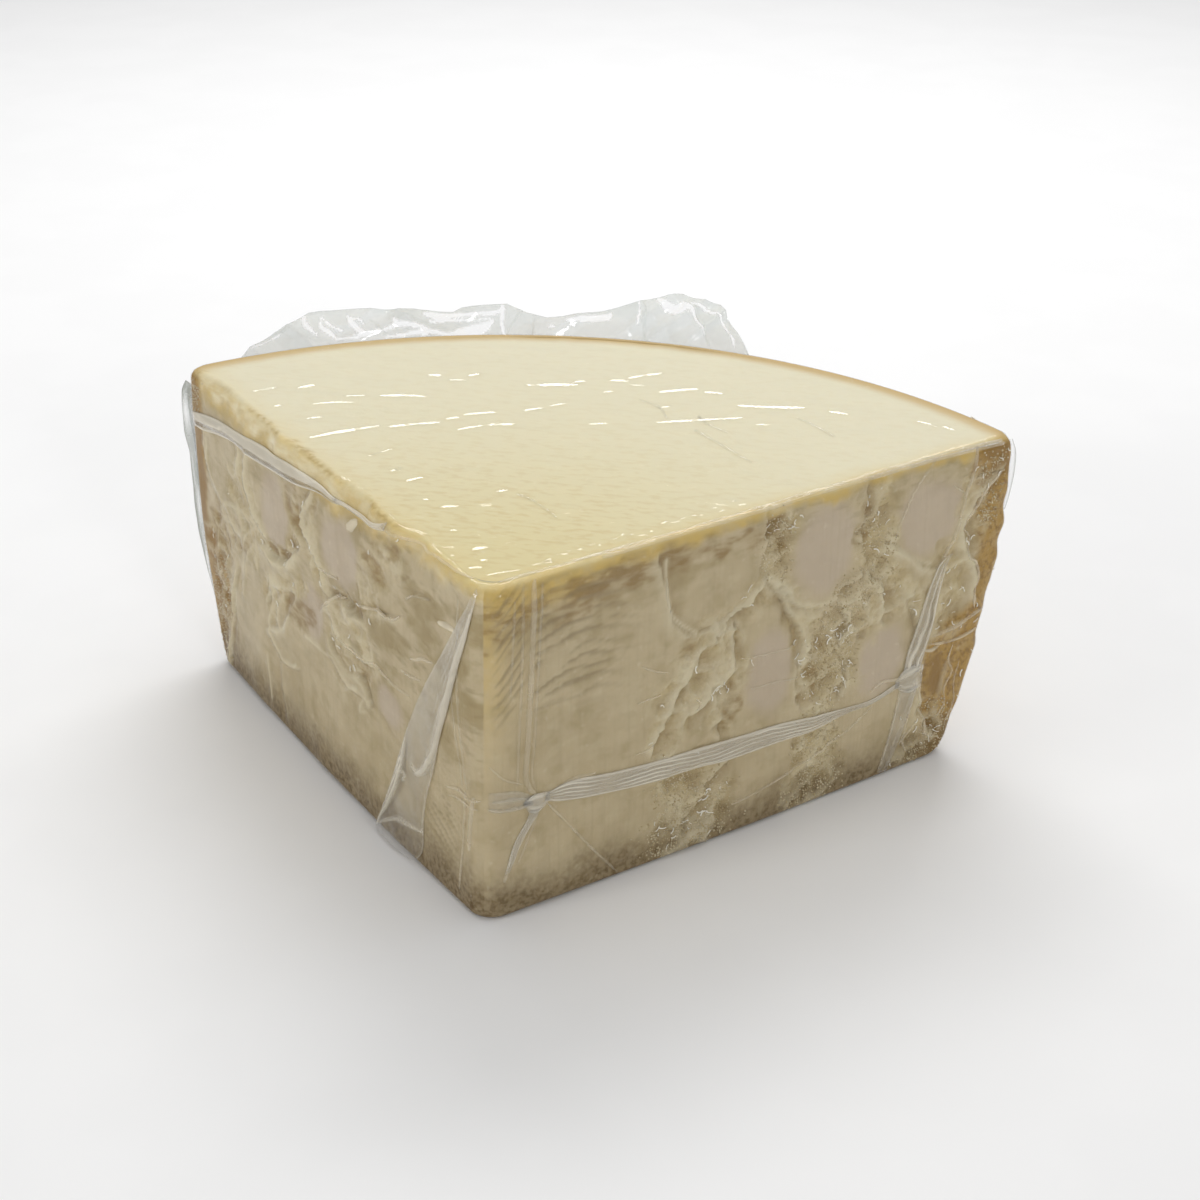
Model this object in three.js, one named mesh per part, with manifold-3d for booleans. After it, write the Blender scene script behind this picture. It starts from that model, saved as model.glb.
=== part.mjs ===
// A quarter of the lower half of a Parmesan wheel, sealed tight in a clear vacuum bag.
// The wedge lies on the wheel's flat face, with the sawn middle of the wheel on top.
// Millimetres, +Z up, +Y from the tip of the wedge to the middle of its rind. The origin is on the
// flat base, TIP_TO_ORIGIN behind the wheel's axis, where the tip of the wedge is.
import * as THREE from "three";
import { mergeVertices } from "three/addons/utils/BufferGeometryUtils.js";
import Module from "manifold-3d";

// ---- driving sizes of the wedge ----
const WHEEL_RADIUS = 206; // of the sawn top face
const WEDGE_HEIGHT = 117; // half of a wheel 234 mm high
const WEDGE_ANGLE = Math.PI / 2; // a quarter of the wheel
const TIP_TO_ORIGIN = 115;
const TIP_LEAN = 1.5; // the front edge leans this much either way from upright
const TIP_ROUND = 8; // radius of the front edge
const CORNER_ROUND = 5; // radius of the upright edges where cheese meets rind
const TOP_ROUND = 4; // radius of the edge of the top face
const BASE_ROUND = 2.4; // radius of the edge of the base
const HEEL = { tall: 9, draw: 5.5 }; // where the rind turns under the wheel

// The barrel of the rind at its two ends: how far it swells past the top face, at what height, and
// how far it draws in above and below that belly.
const RIND_END = {
  right: { belly: 1.5, height: 92, drawTop: 0.5, drawBase: 20.5 },
  left: { belly: 4.5, height: 65, drawTop: 3, drawBase: 11 },
};
const BARREL_CURVE = 1.55; // exponent of the barrel's draw
const RIND_UNEVEN = { size: 38, height: 1.2 };

// ---- the two broken faces ----
// A crevice runs from one point to another of a face, each given as distance from the tip and height
// above the base, and bows sideways. Wide shallow ones are veins of torn, flaky cheese. A fold of the
// film stands out along its stations, each a distance from the tip, a height, a half width and how far
// it stands out. The last one on the left is the bag's corner, turned down as an ear. A face also
// bulges in the middle, has slow swells, and has a top edge that is broken away in bites.
const FACES = {
  right: {
    side: 1,
    bulge: 1.2,
    seed: 3,
    bite: 0.6,
    crevices: [
      { from: [101, 118], to: [108, 87], bow: 2, width: 5, depth: 2.4 },
      { from: [63, 108], to: [82, 80], bow: -7, width: 4, depth: 2.0 },
      { from: [82, 80], to: [105, 90], bow: -3, width: 4, depth: 2.2 },
      { from: [106, 88], to: [66, 34], bow: 6, width: 7, depth: 2.9 },
      { from: [92, 74], to: [88, 32], bow: 3, width: 4.5, depth: 2.4 },
      { from: [67, 34], to: [74, 2], bow: -3, width: 5.5, depth: 2.2 },
      { from: [108, 87], to: [129, 2], bow: -3, width: 5.5, depth: 2.6 },
      { from: [117, 76], to: [151, 82], bow: 3, width: 4, depth: 2.0 },
      { from: [143, 114], to: [151, 60], bow: 4, width: 5, depth: 2.2 },
      { from: [185, 117], to: [172, 4], bow: -5, width: 4.5, depth: 2.4 },
    ],
    folds: [
      [[6, 46, 3, 1.4], [26, 37, 3.4, 1.8], [80, 32.5, 4.2, 2], [136, 30, 3.4, 1.8], [168, 37, 3, 1.4]],
      [[188, 111, 3, 1.4], [181, 76, 3.2, 2], [170, 38, 3.4, 2], [163, 8, 3, 1.2]],
    ],
  },
  left: {
    side: -1,
    bulge: 2.2,
    seed: 5,
    bite: 2.8,
    crevices: [
      { from: [157, 101], to: [133, 69], bow: 8, width: 4.5, depth: 2.4 },
      { from: [107, 107], to: [101, 80], bow: -5, width: 4.5, depth: 2.2 },
      { from: [101, 80], to: [57, 62], bow: 5, width: 5.5, depth: 2.8 },
      { from: [89, 76], to: [46, 88], bow: 3, width: 4.5, depth: 2.4 },
      { from: [195, 97], to: [171, 55], bow: 5, width: 5, depth: 2.4 },
      { from: [171, 55], to: [142, 8], bow: -4, width: 5, depth: 2.0 },
      { from: [92, 62], to: [110, 6], bow: 3, width: 4.5, depth: 1.6 },
    ],
    folds: [
      [[203, 95, 3, 1.4], [165, 101.5, 3, 1.8], [120, 108, 3.2, 1.6], [88, 110, 3, 0.8]],
      [[5, 110, 3, 1.4], [18, 80, 6, 2.2], [38, 42, 9.5, 3], [51, 15, 14, 4.5], [58, 2, 9, 2.5]],
    ],
  },
};
const FACE_UNEVEN = { size: 26, height: 0.6 };
const BITE = { tall: 11, size: 17, from: 18, to: 196 }; // where the top edge is broken

// ---- free film of the bag ----
const FILM_THICK = 1.2; // doubled, sealed film, thick enough for a solid
// The open end of the bag, sealed and left standing behind the rind.
const SKIRT = {
  rootLeft: 88, // heights at which it leaves the rind, at the two corners
  rootRight: 62,
  sink: 5, // how deep its root reaches into the rind
  flare: 9, // how far its free edge stands off the rind
  wave: 1.3, // depth of its ripples
  ripples: 8,
};
// Height of the skirt's free edge at angles from the middle of the rind, positive to the right.
const SKIRT_EDGE = [
  [-44.6, 106], [-38, 115], [-32.5, 126], [-12, 124], [-8, 119.5],
  [6, 132], [9.7, 131], [13, 112], [22, 100], [42, 92],
];
// The side seam of the bag, standing off the left corner beside the left face.
const FIN = { out: 9, root: 9, under: 1.6, foot: 14, top: 109 };

// ---- how fine the solid is ----
const STEPS = { face: 46, rind: 26, high: 26, round: 3, skirt: 40, skirtHigh: 4 };
const SEAM_WELD = 0.08; // points closer than this are one

const { clamp, degToRad, lerp: mix, smoothstep } = THREE.MathUtils;
const HALF_ANGLE = WEDGE_ANGLE / 2;
const UP = new THREE.Vector3(0, 0, 1);

// Smooth noise from -1 to 1 over unit cells, the same on every run.
function unevenness(x, y, seed) {
  const corner = (i, j) => {
    const n = Math.sin(i * 127.1 + j * 311.7 + seed * 74.7) * 43758.5453;
    return 2 * (n - Math.floor(n)) - 1;
  };
  const i = Math.floor(x);
  const j = Math.floor(y);
  const u = smoothstep(x - i, 0, 1);
  const v = smoothstep(y - j, 0, 1);
  return mix(mix(corner(i, j), corner(i + 1, j), u), mix(corner(i, j + 1), corner(i + 1, j + 1), u), v);
}

// Distance in the face's plane from (s, z) to a crevice's bowed line.
function distanceTo(crevice, s, z) {
  const from = new THREE.Vector2(...crevice.from);
  const run = new THREE.Vector2(...crevice.to).sub(from);
  const along = clamp(new THREE.Vector2(s, z).sub(from).dot(run) / run.lengthSq(), 0, 1);
  const sideways = (4 * crevice.bow * along * (1 - along)) / run.length();
  const across = new THREE.Vector2(-run.y, run.x);
  const near = from.addScaledVector(run, along).addScaledVector(across, sideways);
  return near.distanceTo(new THREE.Vector2(s, z));
}

// How far a fold stands out at (s, z).
function foldRise(stations, s, z) {
  const point = new THREE.Vector2(s, z);
  const rises = stations.slice(1).map(([s1, z1, half1, high1], i) => {
    const [s0, z0, half0, high0] = stations[i];
    const from = new THREE.Vector2(s0, z0);
    const run = new THREE.Vector2(s1, z1).sub(from);
    const along = clamp(point.clone().sub(from).dot(run) / run.lengthSq(), 0, 1);
    const gap = from.addScaledVector(run, along).distanceTo(point) / mix(half0, half1, along);
    return mix(high0, high1, along) * (1 - smoothstep(gap, 0.4, 1.3));
  });
  return Math.max(...rises);
}

// How far a broken face lies under its flat plane, at distance s from the tip and height z.
function faceSink(face, s, z) {
  const depthOf = (crevice) => crevice.depth * Math.exp(-((distanceTo(crevice, s, z) / crevice.width) ** 2));
  const crevice = Math.max(...face.crevices.map(depthOf));
  const fold = Math.max(...face.folds.map((stations) => foldRise(stations, s, z)));
  const swell = FACE_UNEVEN.height * unevenness(s / FACE_UNEVEN.size, z / FACE_UNEVEN.size, face.seed);
  const ends = smoothstep(s, 4, 22) * (1 - smoothstep(s, WHEEL_RADIUS - 14, WHEEL_RADIUS - 3));
  const rims = smoothstep(z, 0, 7) * (1 - smoothstep(z, WEDGE_HEIGHT - 9, WEDGE_HEIGHT - 1));
  const bulge = face.bulge * Math.sin((Math.PI * s) / WHEEL_RADIUS);
  return (crevice + swell) * ends * rims + biteSink(face, s, z) - bulge - fold;
}

// How far the top edge of a face is broken away.
function biteSink(face, s, z) {
  const deep = face.bite * (0.65 + 0.35 * unevenness(s / BITE.size, 0.5, face.seed));
  const starts = smoothstep(s, BITE.from, BITE.from + BITE.size);
  const stops = 1 - smoothstep(s, BITE.to - BITE.size, BITE.to);
  return deep * starts * stops * smoothstep(z, WEDGE_HEIGHT - BITE.tall, WEDGE_HEIGHT);
}

// Radius of the rind at an angle from +Y, positive to the right, and a height.
function rindRadius(angle, z) {
  const share = clamp(0.5 + angle / WEDGE_ANGLE, 0, 1);
  const size = (name) => mix(RIND_END.left[name], RIND_END.right[name], share);
  const height = size("height");
  const above = z > height;
  const away = above ? (z - height) / (WEDGE_HEIGHT - height) : (height - z) / height;
  const heel = HEEL.draw * (1 - Math.sqrt(1 - Math.max(0, 1 - z / HEEL.tall) ** 2));
  return WHEEL_RADIUS + size("belly") - size(above ? "drawTop" : "drawBase") * away ** BARREL_CURVE - heel;
}

// How far the outline draws in to round the edges of the top and the base.
function rimInset(z) {
  const top = clamp(1 - (WEDGE_HEIGHT - z) / TOP_ROUND, 0, 1);
  const base = clamp(1 - z / BASE_ROUND, 0, 1);
  return TOP_ROUND * (1 - Math.sqrt(1 - top ** 2)) + BASE_ROUND * (1 - Math.sqrt(1 - base ** 2));
}

// A point at distance `gap` from a square corner, moved onto a round of the given radius.
function roundCorner(gap, radius) {
  if (gap >= radius) return { along: gap, across: 0 };
  const turn = (Math.PI / 4) * (1 - gap / radius);
  return { along: radius * (1 - Math.sin(turn)), across: radius * (1 - Math.cos(turn)) };
}

// A point of a cut face at a share of the way from the tip to the rind, at height z.
function facePoint(face, share, z, inset) {
  const tip = new THREE.Vector2(mix(-TIP_LEAN, TIP_LEAN, z / WEDGE_HEIGHT), inset / Math.sin(HALF_ANGLE));
  const radius = rindRadius(face.side * HALF_ANGLE, z) - inset;
  const turn = HALF_ANGLE - Math.asin(inset / radius);
  const along = new THREE.Vector2(face.side * radius * Math.sin(turn), radius * Math.cos(turn)).sub(tip);
  const long = along.length();
  along.normalize();
  const inward = new THREE.Vector2(-face.side * along.y, face.side * along.x);
  const s = share * long;
  const atTip = roundCorner(s, TIP_ROUND);
  const atRind = roundCorner(long - s, CORNER_ROUND);
  const place = s < long / 2 ? atTip.along : long - atRind.along;
  const sink = atTip.across + atRind.across + faceSink(face, share * WHEEL_RADIUS, z);
  return tip.addScaledVector(along, place).addScaledVector(inward, sink);
}

// A point of the rind at a share of the way from the right corner to the left one, at height z.
function rindPoint(share, z, inset) {
  const radius = rindRadius(mix(HALF_ANGLE, -HALF_ANGLE, share), z) - inset;
  const end = HALF_ANGLE - Math.asin(inset / radius);
  const corner = roundCorner(Math.min(share, 1 - share) * 2 * end * radius, CORNER_ROUND);
  const angle = (end - corner.along / radius) * (share < 0.5 ? 1 : -1);
  const fade = smoothstep(share, 0, 0.08) * (1 - smoothstep(share, 0.92, 1)) * smoothstep(z, 0, HEEL.tall);
  const swell = unevenness((angle * radius) / RIND_UNEVEN.size, z / RIND_UNEVEN.size, 7);
  const out = radius - corner.across + RIND_UNEVEN.height * swell * fade;
  return new THREE.Vector2(out * Math.sin(angle), out * Math.cos(angle));
}

// The closed outline of the wedge at height z, counter-clockwise seen from above.
function outline(z) {
  const inset = rimInset(z);
  const shares = (count) => Array.from({ length: count }, (_, i) => i / count);
  return [
    ...shares(STEPS.face).map((share) => facePoint(FACES.right, share, z, inset)),
    ...shares(STEPS.rind).map((share) => rindPoint(share, z, inset)),
    ...shares(STEPS.face).map((share) => facePoint(FACES.left, 1 - share, z, inset)),
  ];
}

// The heights of the outlines: even up the sides, and closer round the base's and the top's edge.
function levels() {
  const steps = (count, height) => Array.from({ length: count }, (_, i) => height(i));
  const turn = (i) => (Math.PI / 2) * (i / STEPS.round);
  return [
    ...steps(STEPS.round, (i) => BASE_ROUND * (1 - Math.cos(turn(i)))),
    ...steps(STEPS.high, (i) => mix(BASE_ROUND, WEDGE_HEIGHT - TOP_ROUND, i / STEPS.high)),
    ...steps(STEPS.round + 1, (i) => WEDGE_HEIGHT - TOP_ROUND * (1 - Math.sin(turn(i)))),
  ];
}

// A closed skin over rings of the same even number of points. The rings run counter-clockwise seen from
// the last one. Each end is closed by strips across it, between a ring's two halves.
function skinOver(rings) {
  const around = rings[0].length;
  const at = (ring, i) => ring * around + (i % around);
  const last = rings.length - 1;
  const index = [];
  const addQuad = (a, b, c, d) => index.push(a, b, c, a, c, d);
  for (let ring = 0; ring < last; ring++) {
    const next = ring + 1;
    for (let i = 0; i < around; i++) addQuad(at(ring, i), at(ring, i + 1), at(next, i + 1), at(next, i));
  }
  for (let i = 0; i < around / 2 - 1; i++) {
    const opposite = around - 1 - i;
    addQuad(at(0, i), at(0, opposite), at(0, opposite - 1), at(0, i + 1));
    addQuad(at(last, i), at(last, i + 1), at(last, opposite - 1), at(last, opposite));
  }
  const positions = rings.flat().flatMap((p) => p.toArray());
  return new THREE.BufferGeometry()
    .setAttribute("position", new THREE.Float32BufferAttribute(positions, 3))
    .setIndex(index);
}

// The wedge: its outlines stacked up.
function wedgeGeometry() {
  return skinOver(levels().map((z) => outline(z).map((p) => new THREE.Vector3(p.x, p.y, z))));
}

// Height of the skirt's free edge at an angle in degrees.
function skirtTop(degrees) {
  const after = Math.max(1, SKIRT_EDGE.findIndex(([angle]) => angle >= degrees));
  const [angle0, z0] = SKIRT_EDGE[after - 1];
  const [angle1, z1] = SKIRT_EDGE[after];
  return mix(z0, z1, clamp((degrees - angle0) / (angle1 - angle0), 0, 1));
}

// The skirt's section at a share of the way from right to left: up its front and down its back.
function skirtSection(share) {
  const degrees = mix(SKIRT_EDGE.at(-1)[0], SKIRT_EDGE[0][0], share);
  const angle = degToRad(degrees);
  const ripple = SKIRT.wave * Math.sin(share * SKIRT.ripples * 2 * Math.PI);
  const front = Array.from({ length: STEPS.skirtHigh + 1 }, (_, i) => {
    const up = i / STEPS.skirtHigh;
    const z = mix(mix(SKIRT.rootRight, SKIRT.rootLeft, share), skirtTop(degrees), up ** 2);
    const off = mix(-SKIRT.sink, SKIRT.flare, Math.sqrt(up)) + ripple * up;
    return [rindRadius(angle, Math.min(z, WEDGE_HEIGHT)) + off, z];
  });
  const back = front.toReversed().map(([radius, z]) => [radius + FILM_THICK, z - FILM_THICK]);
  return [...front, ...back].map(
    ([radius, z]) => new THREE.Vector3(radius * Math.sin(angle), radius * Math.cos(angle), z),
  );
}

function skirtGeometry() {
  return skinOver(Array.from({ length: STEPS.skirt + 1 }, (_, i) => skirtSection(i / STEPS.skirt)));
}

// Directions of a face: along it from the tip, and straight out of it.
function faceDirections(face) {
  const along = new THREE.Vector3(face.side * Math.sin(HALF_ANGLE), Math.cos(HALF_ANGLE), 0);
  const out = new THREE.Vector3().crossVectors(along, UP).multiplyScalar(face.side);
  return { along, out };
}

// The bag's side seam: a thin upright plate just under the left face, bowed out above its foot.
function finGeometry() {
  const { along, out } = faceDirections(FACES.left);
  const edge = WHEEL_RADIUS + RIND_END.left.belly;
  const height = (share) => mix(FIN.foot, FIN.top, share);
  const shape = new THREE.Shape()
    .moveTo(edge - FIN.root, FIN.foot)
    .quadraticCurveTo(edge + FIN.out, height(0.45), edge + FIN.out, height(0.92))
    .quadraticCurveTo(edge + FIN.out, FIN.top, edge + FIN.out * 0.3, FIN.top)
    .lineTo(edge - FIN.root, FIN.top);
  const plate = new THREE.ExtrudeGeometry(shape, { depth: FILM_THICK, bevelEnabled: false, curveSegments: 8 });
  const inward = out.negate();
  const start = inward.clone().multiplyScalar(FIN.under);
  return plate.applyMatrix4(new THREE.Matrix4().makeBasis(along, UP, inward).setPosition(start));
}

const wasm = await Module();
wasm.setup();

// A closed geometry as a manifold-3d solid.
function solidFrom(geometry) {
  const bare = new THREE.BufferGeometry().setAttribute("position", geometry.getAttribute("position"));
  const merged = mergeVertices(bare.setIndex(geometry.index), 1e-3);
  return new wasm.Manifold(
    new wasm.Mesh({
      numProp: 3,
      vertProperties: merged.getAttribute("position").array,
      triVerts: new Uint32Array(merged.index.array),
    }),
  );
}

// A manifold-3d solid as a geometry, without the slivers that joining leaves along a seam.
function geometryFrom(solid) {
  const { vertProperties, triVerts } = solid.getMesh();
  const joined = new THREE.BufferGeometry()
    .setAttribute("position", new THREE.BufferAttribute(vertProperties, 3))
    .setIndex(new THREE.BufferAttribute(triVerts, 1));
  const welded = mergeVertices(joined, SEAM_WELD);
  const corners = Array.from(welded.index.array);
  const index = [];
  for (let i = 0; i < corners.length; i += 3) {
    const triangle = corners.slice(i, i + 3);
    if (new Set(triangle).size === 3) index.push(...triangle);
  }
  return welded.setIndex(index);
}

// ---- the sealed bag: the wedge and the film that stands free of it, in one solid ----
const bagSolid = solidFrom(wedgeGeometry()).add(solidFrom(skirtGeometry())).add(solidFrom(finGeometry()));

const cheeseUnderFilm = new THREE.MeshStandardMaterial({ color: 0xd8cb9c, roughness: 0.25, metalness: 0 });
const bag = new THREE.Mesh(geometryFrom(bagSolid), cheeseUnderFilm);
bag.name = "cheese_in_vacuum_bag";
bag.position.y = -TIP_TO_ORIGIN;

const part = new THREE.Group();
part.add(bag);

export default part;
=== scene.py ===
"""An eighth of a Parmesan wheel in a clear vacuum bag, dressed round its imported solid.

Sizes are in millimetres and angles in degrees unless a name says otherwise. A place on a cut face is
(s, z): the distance from the wedge's tip along the face, and the height above the base. A place on
the rind is (angle, z), with the angle from the middle of the rind, positive to the right.
"""

from __future__ import annotations

import logging
import math
from dataclasses import dataclass, field
from enum import Enum
from functools import partial
from typing import Any

import bmesh
import bpy
import numpy as np
from mathutils import Matrix, Vector

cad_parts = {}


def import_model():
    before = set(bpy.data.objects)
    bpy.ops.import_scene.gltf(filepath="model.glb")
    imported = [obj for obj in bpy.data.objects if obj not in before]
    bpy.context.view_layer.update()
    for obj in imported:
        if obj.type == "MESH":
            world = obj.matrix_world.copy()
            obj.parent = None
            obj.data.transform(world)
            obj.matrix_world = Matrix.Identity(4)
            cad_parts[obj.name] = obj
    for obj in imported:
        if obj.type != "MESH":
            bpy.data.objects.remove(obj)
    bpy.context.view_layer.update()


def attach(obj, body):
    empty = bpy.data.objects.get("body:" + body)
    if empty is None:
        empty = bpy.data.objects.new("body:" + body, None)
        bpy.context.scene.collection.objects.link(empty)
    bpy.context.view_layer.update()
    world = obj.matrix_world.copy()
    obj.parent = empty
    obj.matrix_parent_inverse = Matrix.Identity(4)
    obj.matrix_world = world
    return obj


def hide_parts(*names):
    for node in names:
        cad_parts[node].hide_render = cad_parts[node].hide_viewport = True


LOG = logging.getLogger("cheese")
MM = 0.001
NODE = "cheese_in_vacuum_bag"

Array = np.ndarray
Path = tuple[tuple[float, ...], ...]
Piece = bpy.types.Object
Finish = bpy.types.Material
Tree = bpy.types.NodeTree

NOISE_CELLS = 64  # after so many cells, noise repeats
TOP_SEED = 90
CLOSE_DRAPE = (1, 1)  # cells that tight film spans, and how often it is smoothed
LOOSE_DRAPE = (4, 14)  # the same for film that lies over others


# ---- numbers


def ease(value: Array | float, low: float, high: float) -> Array:
    """Smooth rise from 0 at low to 1 at high, or a fall where high is under low."""
    share = np.clip((np.asarray(value, float) - low) / (high - low), 0.0, 1.0)
    return share * share * (3.0 - 2.0 * share)


def bell(value: Array, width: float) -> Array:
    """A bell curve of height 1 and the given half width."""
    return np.exp(-((value / width) ** 2))


def noise(x: Array, y: Array, cell: float, seed: int) -> Array:
    """Smooth noise from -1 to 1.

    Args:
        x: First coordinate.
        y: Second coordinate, of the same shape.
        cell: Size of one swell, in the coordinates' unit.
        seed: Which noise it is.

    Returns:
        The noise at each place.
    """
    table = np.random.default_rng(seed).uniform(-1.0, 1.0, (NOISE_CELLS, NOISE_CELLS))
    u, v = x / cell, y / cell
    i, j = np.floor(u).astype(int), np.floor(v).astype(int)
    a, b = ease(u - i, 0, 1), ease(v - j, 0, 1)
    at = lambda di, dj: table[(i + di) % NOISE_CELLS, (j + dj) % NOISE_CELLS]
    low = at(0, 0) * (1 - a) + at(1, 0) * a
    high = at(0, 1) * (1 - a) + at(1, 1) * a
    return low * (1 - b) + high * b


def crumble(x: Array, y: Array, cell: float, seed: int, octaves: int = 3) -> Array:
    """Noise of several sizes, each half as large and half as strong as the one before."""
    return sum(noise(x, y, cell / 2**k, seed + k) / 2**k for k in range(octaves))


def crumbs(x: Array, y: Array, size: float, seed: int) -> Array:
    """Rounded lumps packed side by side, each with a height of its own.

    Args:
        x: First coordinate.
        y: Second coordinate, of the same shape.
        size: Distance between two lumps.
        seed: Which lumps they are.

    Returns:
        Height from 0 between the lumps to 1 on the tallest.
    """
    rng = np.random.default_rng(seed)
    shift = rng.uniform(0.15, 0.85, (2, NOISE_CELLS, NOISE_CELLS))
    tall = rng.uniform(0.35, 1.0, (NOISE_CELLS, NOISE_CELLS))
    u, v = x / size, y / size
    i, j = np.floor(u).astype(int), np.floor(v).astype(int)
    height = np.zeros(x.shape)
    for di in (-1, 0, 1):
        for dj in (-1, 0, 1):
            a, b = (i + di) % NOISE_CELLS, (j + dj) % NOISE_CELLS
            gap = (u - i - di - shift[0, a, b]) ** 2 + (v - j - dj - shift[1, a, b]) ** 2
            height = np.maximum(height, tall[a, b] * (1 - gap / 0.75))
    return height


def smooth_path(points: Path | Array, steps: int) -> Array:
    """A Catmull-Rom curve through points of any number of values each.

    Args:
        points: The points that the curve passes.
        steps: Stretches between two neighbouring points.

    Returns:
        One row for each point of the curve.
    """
    p = np.array(points, float)
    p = np.vstack([2 * p[0] - p[1], p, 2 * p[-1] - p[-2]])
    rows = []
    for k in range(1, len(p) - 2):
        for t in np.arange(steps) / steps:
            a, b, c, d = p[k - 1 : k + 3]
            bend = (2 * a - 5 * b + 4 * c - d) * t * t + (3 * b - a - 3 * c + d) * t**3
            rows.append(0.5 * (2 * b + (c - a) * t + bend))
    return np.vstack([rows, p[-2]])


def path_length(path: Path, steps: int) -> float:
    """Length of a smooth path through places."""
    return float(np.hypot(*np.diff(smooth_path(path, steps), axis=0).T).sum())


def near_path(path: Array, s: Array, z: Array) -> tuple[Array, Array, Array]:
    """Where places lie against a path on a face.

    Args:
        path: Rows of s, z and any further values carried along.
        s: Distances from the tip.
        z: Heights.

    Returns:
        The distance to the path, the signed distance (positive to the left of its direction), and
        the carried values at the nearest point.
    """
    best = np.full(s.shape, np.inf)
    signed = np.zeros(s.shape)
    carried = np.zeros(s.shape + (path.shape[1] - 2,))
    for a, b in zip(path[:-1], path[1:]):
        run = b - a
        share = ((s - a[0]) * run[0] + (z - a[1]) * run[1]) / max(run[0] ** 2 + run[1] ** 2, 1e-9)
        share = np.clip(share, 0.0, 1.0)
        ds, dz = s - a[0] - share * run[0], z - a[1] - share * run[1]
        gap = np.hypot(ds, dz)
        closer = gap < best
        best = np.where(closer, gap, best)
        signed = np.where(closer, gap * np.sign(run[0] * dz - run[1] * ds), signed)
        carried[closer] = a[2:] + share[closer][:, None] * run[2:]
    return best, signed, carried


def spread(grid: Array, reach: int, pick: Any) -> Array:
    """Each cell's largest or smallest neighbour within a square.

    Args:
        grid: Values on a grid.
        reach: Cells to each side.
        pick: np.maximum or np.minimum.

    Returns:
        The new grid.
    """
    for axis in (0, 1):
        padded = np.pad(grid, [(reach, reach) if k == axis else (0, 0) for k in (0, 1)], mode="edge")
        slices = [np.take(padded, range(k, k + grid.shape[axis]), axis) for k in range(2 * reach + 1)]
        grid = pick.reduce(slices)
    return grid


def soften(grid: Array, times: int) -> Array:
    """A grid blurred with its neighbours, over and over."""
    for _ in range(times):
        padded = np.pad(grid, 1, mode="edge")
        across = padded[1:-1, :-2] + padded[1:-1, 2:]
        along = padded[:-2, 1:-1] + padded[2:, 1:-1]
        grid = grid * 0.5 + (across + along) * 0.125
    return grid


# ---- the wedge's plain form


class Side(Enum):
    """The two cut faces, seen from the tip."""

    RIGHT = 1
    LEFT = -1


@dataclass(frozen=True)
class RindEnd:
    """The rind's upright profile at one end.

    belly is how far it swells past the top face, height where, and draw_top and draw_base how far
    it draws in above and below.
    """

    belly: float
    height: float
    draw_top: float
    draw_base: float


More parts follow.
